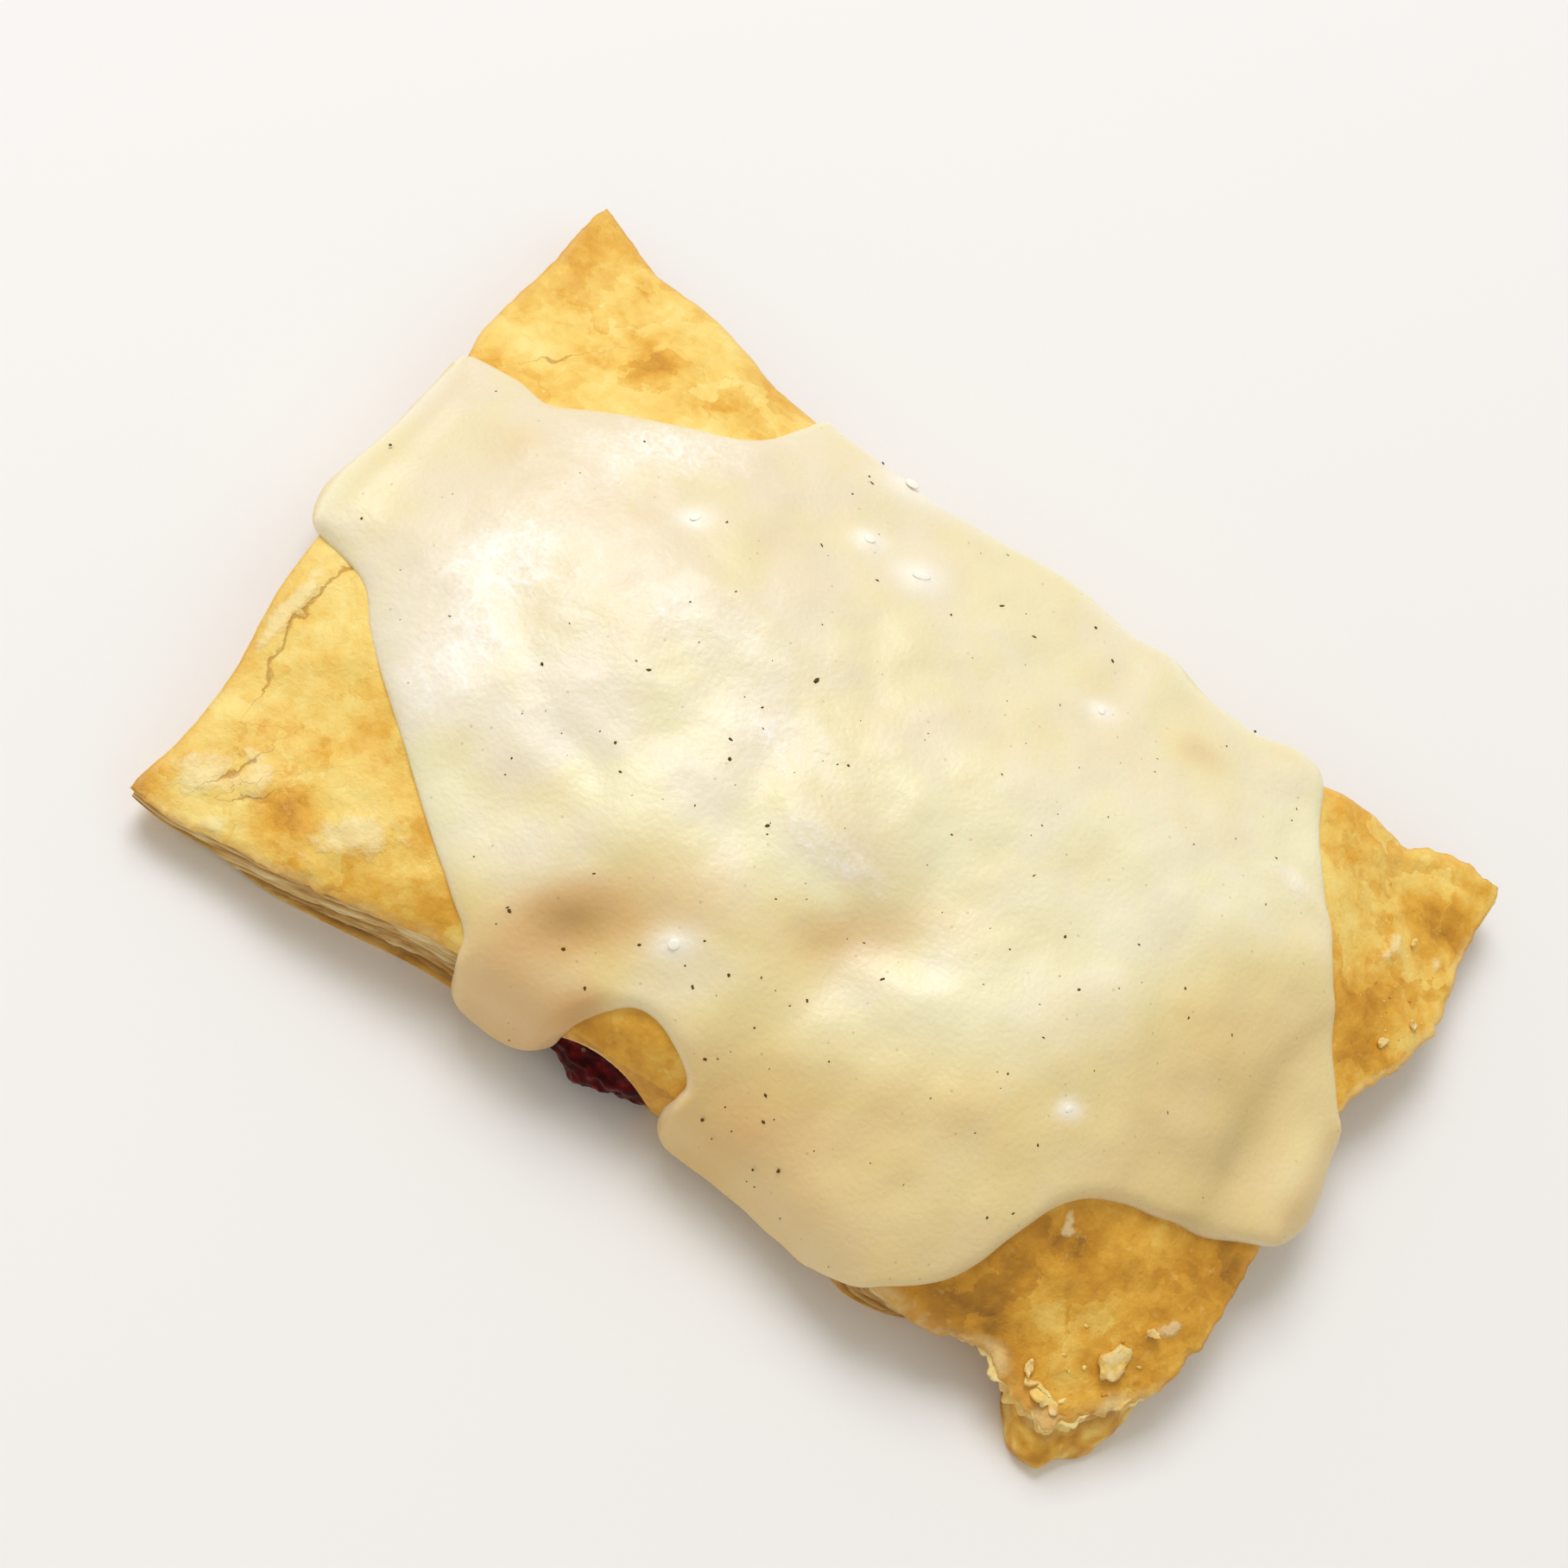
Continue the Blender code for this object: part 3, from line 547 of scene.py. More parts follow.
def edgeDistance(a, b):
    best = np.full(len(a), 1e9)
    for start in range(0, len(a), 4000):
        part = slice(start, start + 4000)
        d = np.hypot(a[part, None] - icingEdge[None, :, 0], b[part, None] - icingEdge[None, :, 1])
        best[part] = d.min(axis=1)
    return best


def insideEdge(a, b):
    inside = np.zeros(len(a), bool)
    for (a0, b0), (a1, b1) in zip(icingEdge, np.roll(icingEdge, -1, axis=0)):
        if b0 != b1:
            crosses = ((b0 > b) != (b1 > b)) & (a < (a1 - a0) * (b - b0) / (b1 - b0) + a0)
            inside ^= crosses
    return inside


def icingDepth(x, y, past, d):
    # how far the icing's face stands off the dough, rounded down to nothing at its edge
    soft = np.max([blob(x, y, (*spot, 1)) for spot in icing["soft"]], axis=0)
    reach = np.clip(d / (icing["roundWidth"] * (1 + soft)), 0, 1)
    edgeRise = np.sqrt(np.maximum(0, 1 - (1 - reach) ** 2))
    thick = icing["thick"] + 0.6 * lumps(x, y, 0, 15, 31, 1) + 0.14 * lumps(x, y, 0, 6, 32, 1)
    thick += 0.45 * ramp(1.5, 5, past) * np.exp(-((d - 2.0) / 1.6) ** 2)
    thick += 0.20 * lumps(x, y, 0, 4.5, 34, 2) + 0.5 * lumps(x, y, 0, 6, 35, 1) * np.exp(-((past - 0.5) / 2.5) ** 2)
    thick += sum(blob(x, y, spot) for spot in icing["humps"])
    thick += sum(height * np.exp(-(lineDistance(x, y, line) / width) ** 2) for line, height, width in icing["folds"])
    thick += sum(blob(x, y, (cx, cy, size, size * 0.7, 0.3 * size)) for cx, cy, size in icing["lumps"])
    return thick * edgeRise * (1 - 0.5 * soft * np.exp(-d / icing["softReach"]))


def icingFace(a, b):
    # points on the icing's face in metres, with the way out and how far they hang past the lip
    x, y, z, past = skinAt(a, b)
    normal = skinNormal(a, b)
    depth = icingDepth(x, y, past, edgeDistance(a, b))
    return toFrame(x, y, z) + normal * depth[:, None], normal, x, y, past


def choosePoints(piece, chosen):
    # selects just these points, to go on in edit mode with
    bpy.ops.object.mode_set(mode="OBJECT")
    mesh = piece.data
    mesh.polygons.foreach_set("select", np.zeros(len(mesh.polygons), bool))
    mesh.edges.foreach_set("select", np.zeros(len(mesh.edges), bool))
    mesh.vertices.foreach_set("select", np.asarray(chosen, bool))
    bpy.ops.object.mode_set(mode="EDIT")
    bpy.ops.mesh.select_mode(type="VERT")


def fillWithGrid(piece, level, step, margin, loopAway):
    # fills the flat loop that lies loopAway in from the edge with square cells, and sews them to it
    low, high = icingEdge.min(axis=0), icingEdge.max(axis=0)
    cells = np.ceil((high - low) / step).astype(int)
    bpy.ops.mesh.select_all(action="DESELECT")
    middle = (*((low + high) / 2), level)
    bpy.ops.mesh.primitive_grid_add(x_subdivisions=cells[0], y_subdivisions=cells[1], size=1, location=middle)
    bpy.ops.transform.resize(value=(*(cells * step), 1), center_override=middle)
    bpy.ops.object.mode_set(mode="OBJECT")
    new = np.empty(len(piece.data.vertices), bool)
    piece.data.vertices.foreach_get("select", new)
    p = readPoints(piece)
    outside = np.zeros(len(p), bool)
    outside[new] = ~insideEdge(p[new, 0], p[new, 1]) | (edgeDistance(p[new, 0], p[new, 1]) < margin)
    choosePoints(piece, outside)
    bpy.ops.mesh.delete(type="VERT")
    bpy.ops.mesh.select_all(action="SELECT")
    bpy.ops.mesh.delete_loose(use_verts=True, use_edges=True)
    bpy.ops.mesh.select_all(action="DESELECT")
    bpy.ops.mesh.select_mode(type="EDGE")
    bpy.ops.mesh.select_non_manifold(use_wire=True, use_boundary=True, use_multi_face=False,
                                     use_non_contiguous=False, use_verts=False)
    bpy.ops.object.mode_set(mode="OBJECT")
    p = readPoints(piece)
    pairs = np.empty(len(piece.data.edges) * 2, int)
    piece.data.edges.foreach_get("vertices", pairs)
    loops = np.empty(len(piece.data.edges), bool)
    piece.data.edges.foreach_get("select", loops)
    loops &= np.abs(p[pairs[::2], 2] - level) + np.abs(p[pairs[1::2], 2] - level) < 0.01
    ends = p[pairs[::2][loops]]
    loops[loops] = edgeDistance(ends[:, 0], ends[:, 1]) > loopAway
    piece.data.vertices.foreach_set("select", np.zeros(len(p), bool))
    piece.data.polygons.foreach_set("select", np.zeros(len(piece.data.polygons), bool))
    piece.data.edges.foreach_set("select", loops)
    bpy.ops.object.mode_set(mode="EDIT")
    bpy.ops.mesh.fill()


def makeIcing():
    startMesh()
    bpy.ops.mesh.primitive_circle_add(vertices=icing["edgePoints"], radius=1, fill_type="NGON")
    piece = newPiece("pouredIcing")
    rim = np.column_stack([icingEdge, np.zeros(len(icingEdge))])
    piece.data.vertices.foreach_set("co", rim.ravel())
    piece.data.update()
    bpy.ops.object.mode_set(mode="EDIT")
    bpy.ops.mesh.select_mode(type="FACE")
    bpy.ops.mesh.select_all(action="SELECT")
    for last, step in zip(icing["borderSteps"], icing["borderSteps"][1:]):
        bpy.ops.mesh.inset(thickness=step - last, depth=0, use_even_offset=True)
    bpy.ops.mesh.delete(type="ONLY_FACE")
    fillWithGrid(piece, 0.0, icing["meshStep"], icing["borderSteps"][-1] + 0.4, icing["borderSteps"][-1] / 2)
    # the underside hangs from the rim, one level down in the flat pattern
    bpy.ops.object.mode_set(mode="OBJECT")
    p = readPoints(piece)
    choosePoints(piece, np.arange(len(p)) < 0)
    bpy.ops.mesh.select_mode(type="EDGE")
    bpy.ops.mesh.select_non_manifold(use_wire=False, use_boundary=True, use_multi_face=False,
                                     use_non_contiguous=False, use_verts=False)
    bpy.ops.mesh.extrude_edges_move(TRANSFORM_OT_translate={"value": (0, 0, -1)})
    fillWithGrid(piece, -1.0, icing["underStep"], 0.8, -1.0)
    bpy.ops.object.mode_set(mode="OBJECT")

    p = readPoints(piece)
    a, b, under = p[:, 0], p[:, 1], p[:, 2] < -0.5
    x, y, z, past = skinAt(a, b)
    d = edgeDistance(a, b)
    depth = np.where(under, -icing["sink"] * ramp(-0.5, 1.0, d + 0.2), icingDepth(x, y, past, d))
    normal = skinNormal(a, b)
    writePoints(piece, toFrame(x, y, z) + normal * depth[:, None])
    seen = sum(blob(x, y, spot) for spot in icing["thin"]) + 0.12 * lumps(x, y, 0, 9, 33, 2)
    # painted sheen: patches where the key light's reflection falls, which the finish paints whiter
    writeValues(piece, "paintedSheen", sum(blob(x, y, spot) for spot in icing["paintedSheen"]))
    writeValues(piece, "thin", seen)
    writeValues(piece, "sugar", sum(blob(x, y, (cx, cy, 2.0 * r, 1.5 * r, 1.0, 40)) for cx, cy, r in icing["lumps"]))
    soft = np.max([blob(x, y, (*spot, 1)) for spot in icing["soft"]], axis=0)
    writeValues(piece, "edgePale", (1 - ramp(0.1, 0.75, d)) * (1 - soft))
    # the fold over the dough's lip is eased, so that the icing runs down in one sweep
    inside = np.minimum(np.minimum(a, sheet["length"] - a), np.minimum(b, sheet["width"] - b))
    ease = np.exp(-(np.where(past > 0, past, np.maximum(inside, 0)) / icing["easeReach"]) ** 2)
    smoothPart(piece, "easedLip", ease * ramp(0.8, 2.4, d) * ~under, 0.5, icing["easeSteps"])
    faceOutwards(piece)
    eased = np.empty(len(p) * 3)
    piece.data.vertices.foreach_get("normal", eased)
    share = (ease * ramp(0.8, 2.4, d))[:, None]
    # painted shade: how far each point faces the key light, less at the shade spots; the finish darkens the icing as
    # this falls
    facingKeyLight = (share * eased.reshape(-1, 3) + (1 - share) * normal) @ np.array(Vector(icing["keyLightWay"]).normalized())
    writeValues(piece, "facingKeyLight", np.maximum(facingKeyLight, 0.42) - sum(blob(x, y, spot) for spot in icing["shade"]))
    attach(piece, "root")
    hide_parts("icing")
    return piece


icingPiece = makeIcing()
print("icing made:", len(icingPiece.data.vertices), "points")


# what lies in the icing: vanilla specks and lumps of sugar

def scatter(name, where, normal, sizes, seed, subdivisions=1, flat=0.6, sunk=0.3, rough=0.35):
    # small uneven grains set into a face at these places, sizes in mm
    startMesh()
    chance = np.random.default_rng(seed)
    for k in range(len(where)):
        bpy.ops.mesh.primitive_ico_sphere_add(subdivisions=subdivisions, radius=1, location=(0, 0, 0))
        if k == 0:
            piece = newPiece(name)
            bpy.ops.object.mode_set(mode="EDIT")
    bpy.ops.object.mode_set(mode="OBJECT")
    p = readPoints(piece).reshape(len(where), -1, 3)
    for k in range(len(where)):
        spin = chance.uniform(0, 2 * math.pi)
        along = np.cross(normal[k], (math.cos(spin), math.sin(spin), 0.2))
        along /= np.linalg.norm(along)
        side = np.cross(normal[k], along)
        local = p[k] * (1 + rough * chance.uniform(-1, 1, (p.shape[1], 1)))
        half = sizes[k] / 2
        stretched = chance.uniform(1.0, 1.5)
        p[k] = where[k] + half * (local[:, :1] * along * stretched + local[:, 1:2] * side / stretched
                                  + (local[:, 2:] * flat - sunk) * normal[k])
    writePoints(piece, p.reshape(-1, 3))
    faceOutwards(piece)
    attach(piece, "root")
    return piece


def skinPlace(x, y):
    # the place on the skin, in mm along it, that lies at x, y
    a, b = x + 61.0, y + 41.0
    for _ in range(12):
        px, py = skinAt(np.array([a]), np.array([b]))[:2]
        a, b = a + x - px[0], b + y - py[0]
    return a, b


def makeSpecks():
    chance = np.random.default_rng(8)
    places = [skinPlace(x, y) for x, y in icing["speckPlaces"]]
    sizes = list(chance.uniform(0.42, 0.62, len(places)))
    while len(places) < icing["specks"]:
        a, b = chance.uniform((-8, -12), (sheet["length"] + 8, sheet["width"] + 12))
        lowSide = 0.35 + 0.65 * math.exp(-((a - 70) / 40) ** 2) * (1 - b / 120)
        if edgeDistance(np.array([a]), np.array([b]))[0] > 2 and insideEdge(np.array([a]), np.array([b]))[0] \
                and chance.random() < lowSide:
            places.append((a, b))
            sizes.append(0.18 + 0.38 * chance.random() ** 2.0)
    return scatter("vanillaSpecks", *icingFace(*np.array(places, float).T)[:2], sizes, 9, flat=0.45, sunk=0.2)


speckPiece = makeSpecks()
lumpPlaces = np.array([skinPlace(x, y) for x, y, size in icing["lumps"]], float)
lumpPiece = scatter("sugarLumps", *icingFace(*lumpPlaces.T)[:2], [1.1 * size for x, y, size in icing["lumps"]], 10,
                    subdivisions=3, flat=0.2, sunk=0.1, rough=0.02)
print("specks and lumps made")


# thin layers that have come loose at the ragged corner, and flakes and crumbs lying on the crust

torn = {
    # from and to round the lip, how far below it, how far out it starts, how wide, how steeply it hangs in degrees
    "strips": [(0.865, 0.985, 0.25, -1.1, 2.4, 16), (0.915, 0.995, 0.9, -0.9, 2.6, 44), (0.955, 1.03, -0.3, -2.8, 2.6, -4),
               (0.965, 1.12, 0.2, -0.9, 2.2, 10), (0.985, 1.06, 1.3, -0.3, 2.2, 55), (0.93, 0.99, -0.3, -3.0, 1.6, -14),
               (1.05, 1.18, 0.4, -0.7, 1.3, 18)],
    "steps": (64, 7), "thickness": 0.34,
    "flakes": [(57.8, -31.7, 4.0, 3.2), (59.4, -26.8, 1.5, 1.0), (50.8, -37.6, 1.5, 1.0), (63.0, 17.0, 1.3, 1.0),
               (65.0, 21.5, 1.1, 0.9), (60.3, 30.0, 1.2, 0.6)],  # x, y, length, width
    "crumbs": 30,
}


def crustFace(x, y):
    # points on the top of the crust in metres at x, y, with the way out
    a, b = np.array([skinPlace(px, py) for px, py in zip(x, y)]).T
    sx, sy, sz = skinAt(a, b)[:3]
    return toFrame(sx, sy, sz + crustRelief(sx, sy)[0]), skinNormal(a, b)


def makeTornLayers():
    startMesh()
    along, across = torn["steps"]
    for k in range(len(torn["strips"])):
        bpy.ops.mesh.primitive_grid_add(x_subdivisions=along, y_subdivisions=across, size=1, location=(k, 0, 0))
        if k == 0:
            piece = newPiece("tornLayers")
            bpy.ops.object.transform_apply(location=True)
            bpy.ops.object.mode_set(mode="EDIT")
    bpy.ops.object.mode_set(mode="OBJECT")
    p = readPoints(piece).reshape(len(torn["strips"]), -1, 3)
    for k, (start, end, drop, out, width, hang) in enumerate(torn["strips"]):
        i, j = p[k, :, 0] - k + 0.5, p[k, :, 1] + 0.5
        s = start + (end - start) * i
        x, y, z = [np.interp(s, loopS, line, period=4) for line in (loopX, loopY, loopZ)]
        outX, outY = wayOut(s)
        taper = np.sqrt(np.clip(4 * i * (1 - i), 0, 1))
        wide = width * taper * (0.75 + 0.5 * lumps(x, y, k * 3, 2.4, 41, 3)).clip(0.2, 1.3) * j
        tilt = math.radians(hang) * (0.4 + 0.9 * j) + 0.5 * lumps(x, y, k * 3, 2.2, 42, 2) * j
        stand = out + byPlace("ragged", s) * lumps(x, y, 0, 1.8, 12, 3) + wide * np.cos(tilt)
        p[k] = toFrame(x + outX * stand, y + outY * stand, z - drop - wide * np.sin(tilt))
    writePoints(piece, p.reshape(-1, 3))
    solid = piece.modifiers.new("thickness", "SOLIDIFY")
    solid.thickness = torn["thickness"] * mm
    solid.offset = 0
    bpy.ops.object.modifier_apply(modifier="thickness")
    faceOutwards(piece)
    count = len(piece.data.vertices)
    writeValues(piece, "bakedAndShade", 0.36 + 0.2 * lumps(*(readPoints(piece) / mm).T, 2.4, 43, 2))
    writeValues(piece, "flake", np.full(count, 0.6))
    writeValues(piece, "crackAway", np.full(count, 9.0))
    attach(piece, "root")
    return piece


def makeFlakes():
    startMesh()
    for k in range(len(torn["flakes"])):
        bpy.ops.mesh.primitive_circle_add(vertices=26, radius=1, fill_type="NGON", location=(0, 0, 0))
        if k == 0:
            piece = newPiece("looseFlakes")
            bpy.ops.object.mode_set(mode="EDIT")
            bpy.ops.mesh.select_mode(type="FACE")
        for inset in (0.25, 0.3, 0.2):
            bpy.ops.mesh.inset(thickness=inset, depth=0)
    bpy.ops.object.mode_set(mode="OBJECT")
    p = readPoints(piece).reshape(len(torn["flakes"]), -1, 3)
    spots = np.array(torn["flakes"])
    where, normal = crustFace(spots[:, 0], spots[:, 1])
    for k, (x, y, length, width) in enumerate(torn["flakes"]):
        turn = 1.9 * k
        along = np.cross(normal[k], (math.cos(turn), math.sin(turn), 0.1))
        along /= np.linalg.norm(along)
        side = np.cross(normal[k], along)
        wobble = 1 + 0.45 * lumps(p[k, :, 0], p[k, :, 1], 7 * k, 0.8, 44, 3)
        qx, qy = p[k, :, 0] * wobble * length / 2, p[k, :, 1] * wobble * width / 2
        curl = 0.22 + 0.35 * (qx / length * 2) ** 2 + 0.25 * lumps(qx, qy, 5 * k, 1.2, 45, 2)
        p[k] = where[k] + qx[:, None] * along + qy[:, None] * side + curl[:, None] * normal[k]
    writePoints(piece, p.reshape(-1, 3))
    solid = piece.modifiers.new("thickness", "SOLIDIFY")
    solid.thickness = torn["thickness"] * mm
    solid.offset = 0
    bpy.ops.object.modifier_apply(modifier="thickness")
    faceOutwards(piece)
    count = len(piece.data.vertices)
    writeValues(piece, "bakedAndShade", np.full(count, 0.42))
    writeValues(piece, "flake", 0.62 + 0.4 * lumps(*(readPoints(piece) / mm).T, 1.0, 46, 2))
    writeValues(piece, "crackAway", np.full(count, 9.0))
    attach(piece, "root")
    return piece


def makeCrumbs():
    chance = np.random.default_rng(12)
    middles = chance.choice([(63.0, 20.0), (58.0, -30.0), (54.5, -37.0), (62.0, 25.0)], torn["crumbs"])
    x, y = (middles + chance.normal(0, 2.6, middles.shape)).T
    a, b = np.array([skinPlace(px, py) for px, py in zip(x, y)]).T
    bare = (a > 0.6) & (a < sheet["length"] - 0.6) & (b > 0.6) & (b < sheet["width"] - 0.6) & ~insideEdge(a, b)
    where, normal = crustFace(x[bare], y[bare])
    piece = scatter("crumbs", where, normal, 0.25 + 0.45 * chance.random(len(where)) ** 2, 13, flat=0.6, sunk=0.0)
    writeValues(piece, "bakedAndShade", np.repeat(chance.uniform(0.2, 0.75, len(where)), 12))
    writeValues(piece, "crackAway", np.full(12 * len(where), 9.0))
    return piece


tornPiece, flakePiece, crumbPiece = makeTornLayers(), makeFlakes(), makeCrumbs()
print("torn layers, flakes and crumbs made")


# finishes

def perMm(size):
    return 1000 / size


def crustMaterial():
    # golden flaky crust: bright yellow to brown with baking and some painted shade, pale where it has flaked, streaked
    # on the cut side, where the streaks also hold painted shade
    material, tree, shader = newMaterial("bakedPuffPastry")
    place = addNode(tree, "ShaderNodeTexCoord", output=3)
    bakedAndShade = addNode(tree, "ShaderNodeAttribute", {"attribute_name": "bakedAndShade"}, output=2)
    flake = addNode(tree, "ShaderNodeAttribute", {"attribute_name": "flake"}, output=2)
    crackAway = addNode(tree, "ShaderNodeAttribute", {"attribute_name": "crackAway"}, output=2)
    recess = addNode(tree, "ShaderNodeAttribute", {"attribute_name": "recess"}, output=2)
    layers = addNode(tree, "ShaderNodeAttribute", {"attribute_name": "layers"}, output=2)
    rim = addNode(tree, "ShaderNodeAttribute", {"attribute_name": "rim"}, output=2)
    patches = addNode(tree, "ShaderNodeTexNoise", {"Scale": perMm(5), "Detail": 6.0, "Roughness": 0.62},
                      {"Vector": place})
    mottle = addNode(tree, "ShaderNodeTexNoise", {"Scale": perMm(1.7), "Detail": 5.0, "Roughness": 0.6},
                     {"Vector": place})
    drift = addNode(tree, "ShaderNodeTexNoise", {"Scale": perMm(2.6), "Detail": 5.0}, {"Vector": place}, output=1)
    drift = addNode(tree, "ShaderNodeVectorMath", {"operation": "SUBTRACT", 1: (0.5, 0.5, 0.5)}, {0: drift})
    drift = addNode(tree, "ShaderNodeVectorMath", {"operation": "MULTIPLY_ADD", 1: (6 * mm, 6 * mm, 6 * mm)},
                    {0: drift, 2: place})
    plates = addNode(tree, "ShaderNodeTexVoronoi", {"Scale": perMm(6.0)}, {"Vector": drift}, output=1)
    scales = addNode(tree, "ShaderNodeTexVoronoi", {"Scale": perMm(2.6)}, {"Vector": drift}, output=1)
    total = bakedAndShade
    for source, low, high, share in ((patches, 0.3, 0.7, 0.11), (mottle, 0.3, 0.7, 0.05), (plates, 0.2, 0.8, 0.07),
                                     (scales, 0.2, 0.8, 0.035)):
        part = addNode(tree, "ShaderNodeMapRange",
                       {"From Min": low, "From Max": high, "To Min": -share, "To Max": share}, {"Value": source})
        total = addNode(tree, "ShaderNodeMath", {"operation": "ADD"}, {0: total, 1: part})
    colour = addNode(tree, "ShaderNodeValToRGB", {"stops": [
        (0.0, "#F9E9AE"), (0.2, "#F7DC82"), (0.36, "#F2CA64"), (0.52, "#E4AA3A"), (0.68, "#CB8E26"),
        (0.85, "#A9741E"), (1.0, "#84551A")]}, {"Fac": total})
    ragged = addNode(tree, "ShaderNodeMapRange", {"From Min": 0.3, "From Max": 0.7, "To Min": -0.4, "To Max": 0.4},
                     {"Value": mottle})
    flake = addNode(tree, "ShaderNodeMath", {"operation": "ADD"}, {0: flake, 1: ragged})
    flake = addNode(tree, "ShaderNodeMapRange", {"From Min": 0.38, "From Max": 0.8}, {"Value": flake})
    pale = addNode(tree, "ShaderNodeMath", {"operation": "MULTIPLY", 1: 0.56}, {0: flake})
    colour = addNode(tree, "ShaderNodeMixRGB", {"Color2": hexColour("#F9E8B4")}, {"Fac": pale, "Color1": colour})
    fleck = addNode(tree, "ShaderNodeTexNoise", {"Scale": perMm(1.3), "Detail": 2.0}, {"Vector": place})
    fleck = addNode(tree, "ShaderNodeMapRange", {"From Min": 0.64, "From Max": 0.72}, {"Value": fleck})
    dark = addNode(tree, "ShaderNodeMapRange", {"From Min": 0.45, "From Max": 0.75, "To Max": 0.22}, {"Value": bakedAndShade})
    fleck = addNode(tree, "ShaderNodeMath", {"operation": "MULTIPLY"}, {0: fleck, 1: dark})
    colour = addNode(tree, "ShaderNodeMixRGB", {"Color2": hexColour("#F4D896")}, {"Fac": fleck, "Color1": colour})
    jag = addNode(tree, "ShaderNodeMapRange", {"From Min": 0.3, "From Max": 0.7, "To Min": -0.35, "To Max": 0.35},
                  {"Value": mottle})
    crack = addNode(tree, "ShaderNodeMath", {"operation": "ADD"}, {0: crackAway, 1: jag})
    crack = addNode(tree, "ShaderNodeMath", {"operation": "ABSOLUTE"}, {0: crack})
    crack = addNode(tree, "ShaderNodeMapRange", {"From Min": 0.06, "From Max": 0.24, "To Min": 0.62, "To Max": 0.0},
                    {"Value": crack})
    colour = addNode(tree, "ShaderNodeMixRGB", {"Color2": hexColour("#B5772E")}, {"Fac": crack, "Color1": colour})
    rimTone = addNode(tree, "ShaderNodeValToRGB", {"stops": [(0.42, "#CF9644"), (0.58, "#F1D698")]}, {"Fac": patches})
    rimPart = addNode(tree, "ShaderNodeMath", {"operation": "MULTIPLY", 1: 0.68}, {0: rim})
    colour = addNode(tree, "ShaderNodeMixRGB", links={"Fac": rimPart, "Color1": colour, "Color2": rimTone})
    # the streaks' dark end also paints the shade under the lip and at the foot
    streak = addNode(tree, "ShaderNodeValToRGB", {"stops": [
        (0.0, "#7F4F1E"), (0.35, "#B78540"), (0.6, "#DFBB78"), (0.8, "#F2DCA6")]}, {"Fac": layers})
    colour = addNode(tree, "ShaderNodeMixRGB", links={"Fac": recess, "Color1": colour, "Color2": streak})
    tree.links.new(colour, shader.inputs["Base Color"])
    rough = addNode(tree, "ShaderNodeMapRange", {"From Min": 0.3, "From Max": 0.7, "To Min": 0.6, "To Max": 0.42},
                    {"Value": mottle})
    tree.links.new(rough, shader.inputs["Roughness"])
    shader.inputs["Specular IOR Level"].default_value = 0.32
    grain = addNode(tree, "ShaderNodeTexNoise", {"Scale": perMm(0.45), "Detail": 3.0}, {"Vector": place})
    bump = addNode(tree, "ShaderNodeBump", {"Strength": 0.7, "Distance": 0.6 * mm}, {"Height": patches})
    bump = addNode(tree, "ShaderNodeBump", {"Strength": 0.6, "Distance": 0.12 * mm}, {"Height": plates, "Normal": bump})
    bump = addNode(tree, "ShaderNodeBump", {"Strength": 0.5, "Distance": 0.08 * mm}, {"Height": scales, "Normal": bump})
    bump = addNode(tree, "ShaderNodeBump", {"Strength": 0.7, "Distance": 0.3 * mm}, {"Height": mottle, "Normal": bump})
    bump = addNode(tree, "ShaderNodeBump", {"Strength": 0.6, "Distance": 0.09 * mm}, {"Height": grain, "Normal": bump})
    bump = addNode(tree, "ShaderNodeBump", {"Strength": 0.5, "Distance": 0.12 * mm}, {"Height": flake, "Normal": bump})
    bump = addNode(tree, "ShaderNodeBump", {"Strength": 0.6, "Distance": 0.2 * mm, "invert": True},
                   {"Height": crack, "Normal": bump})
    tree.links.new(bump, shader.inputs["Normal"])
    return material


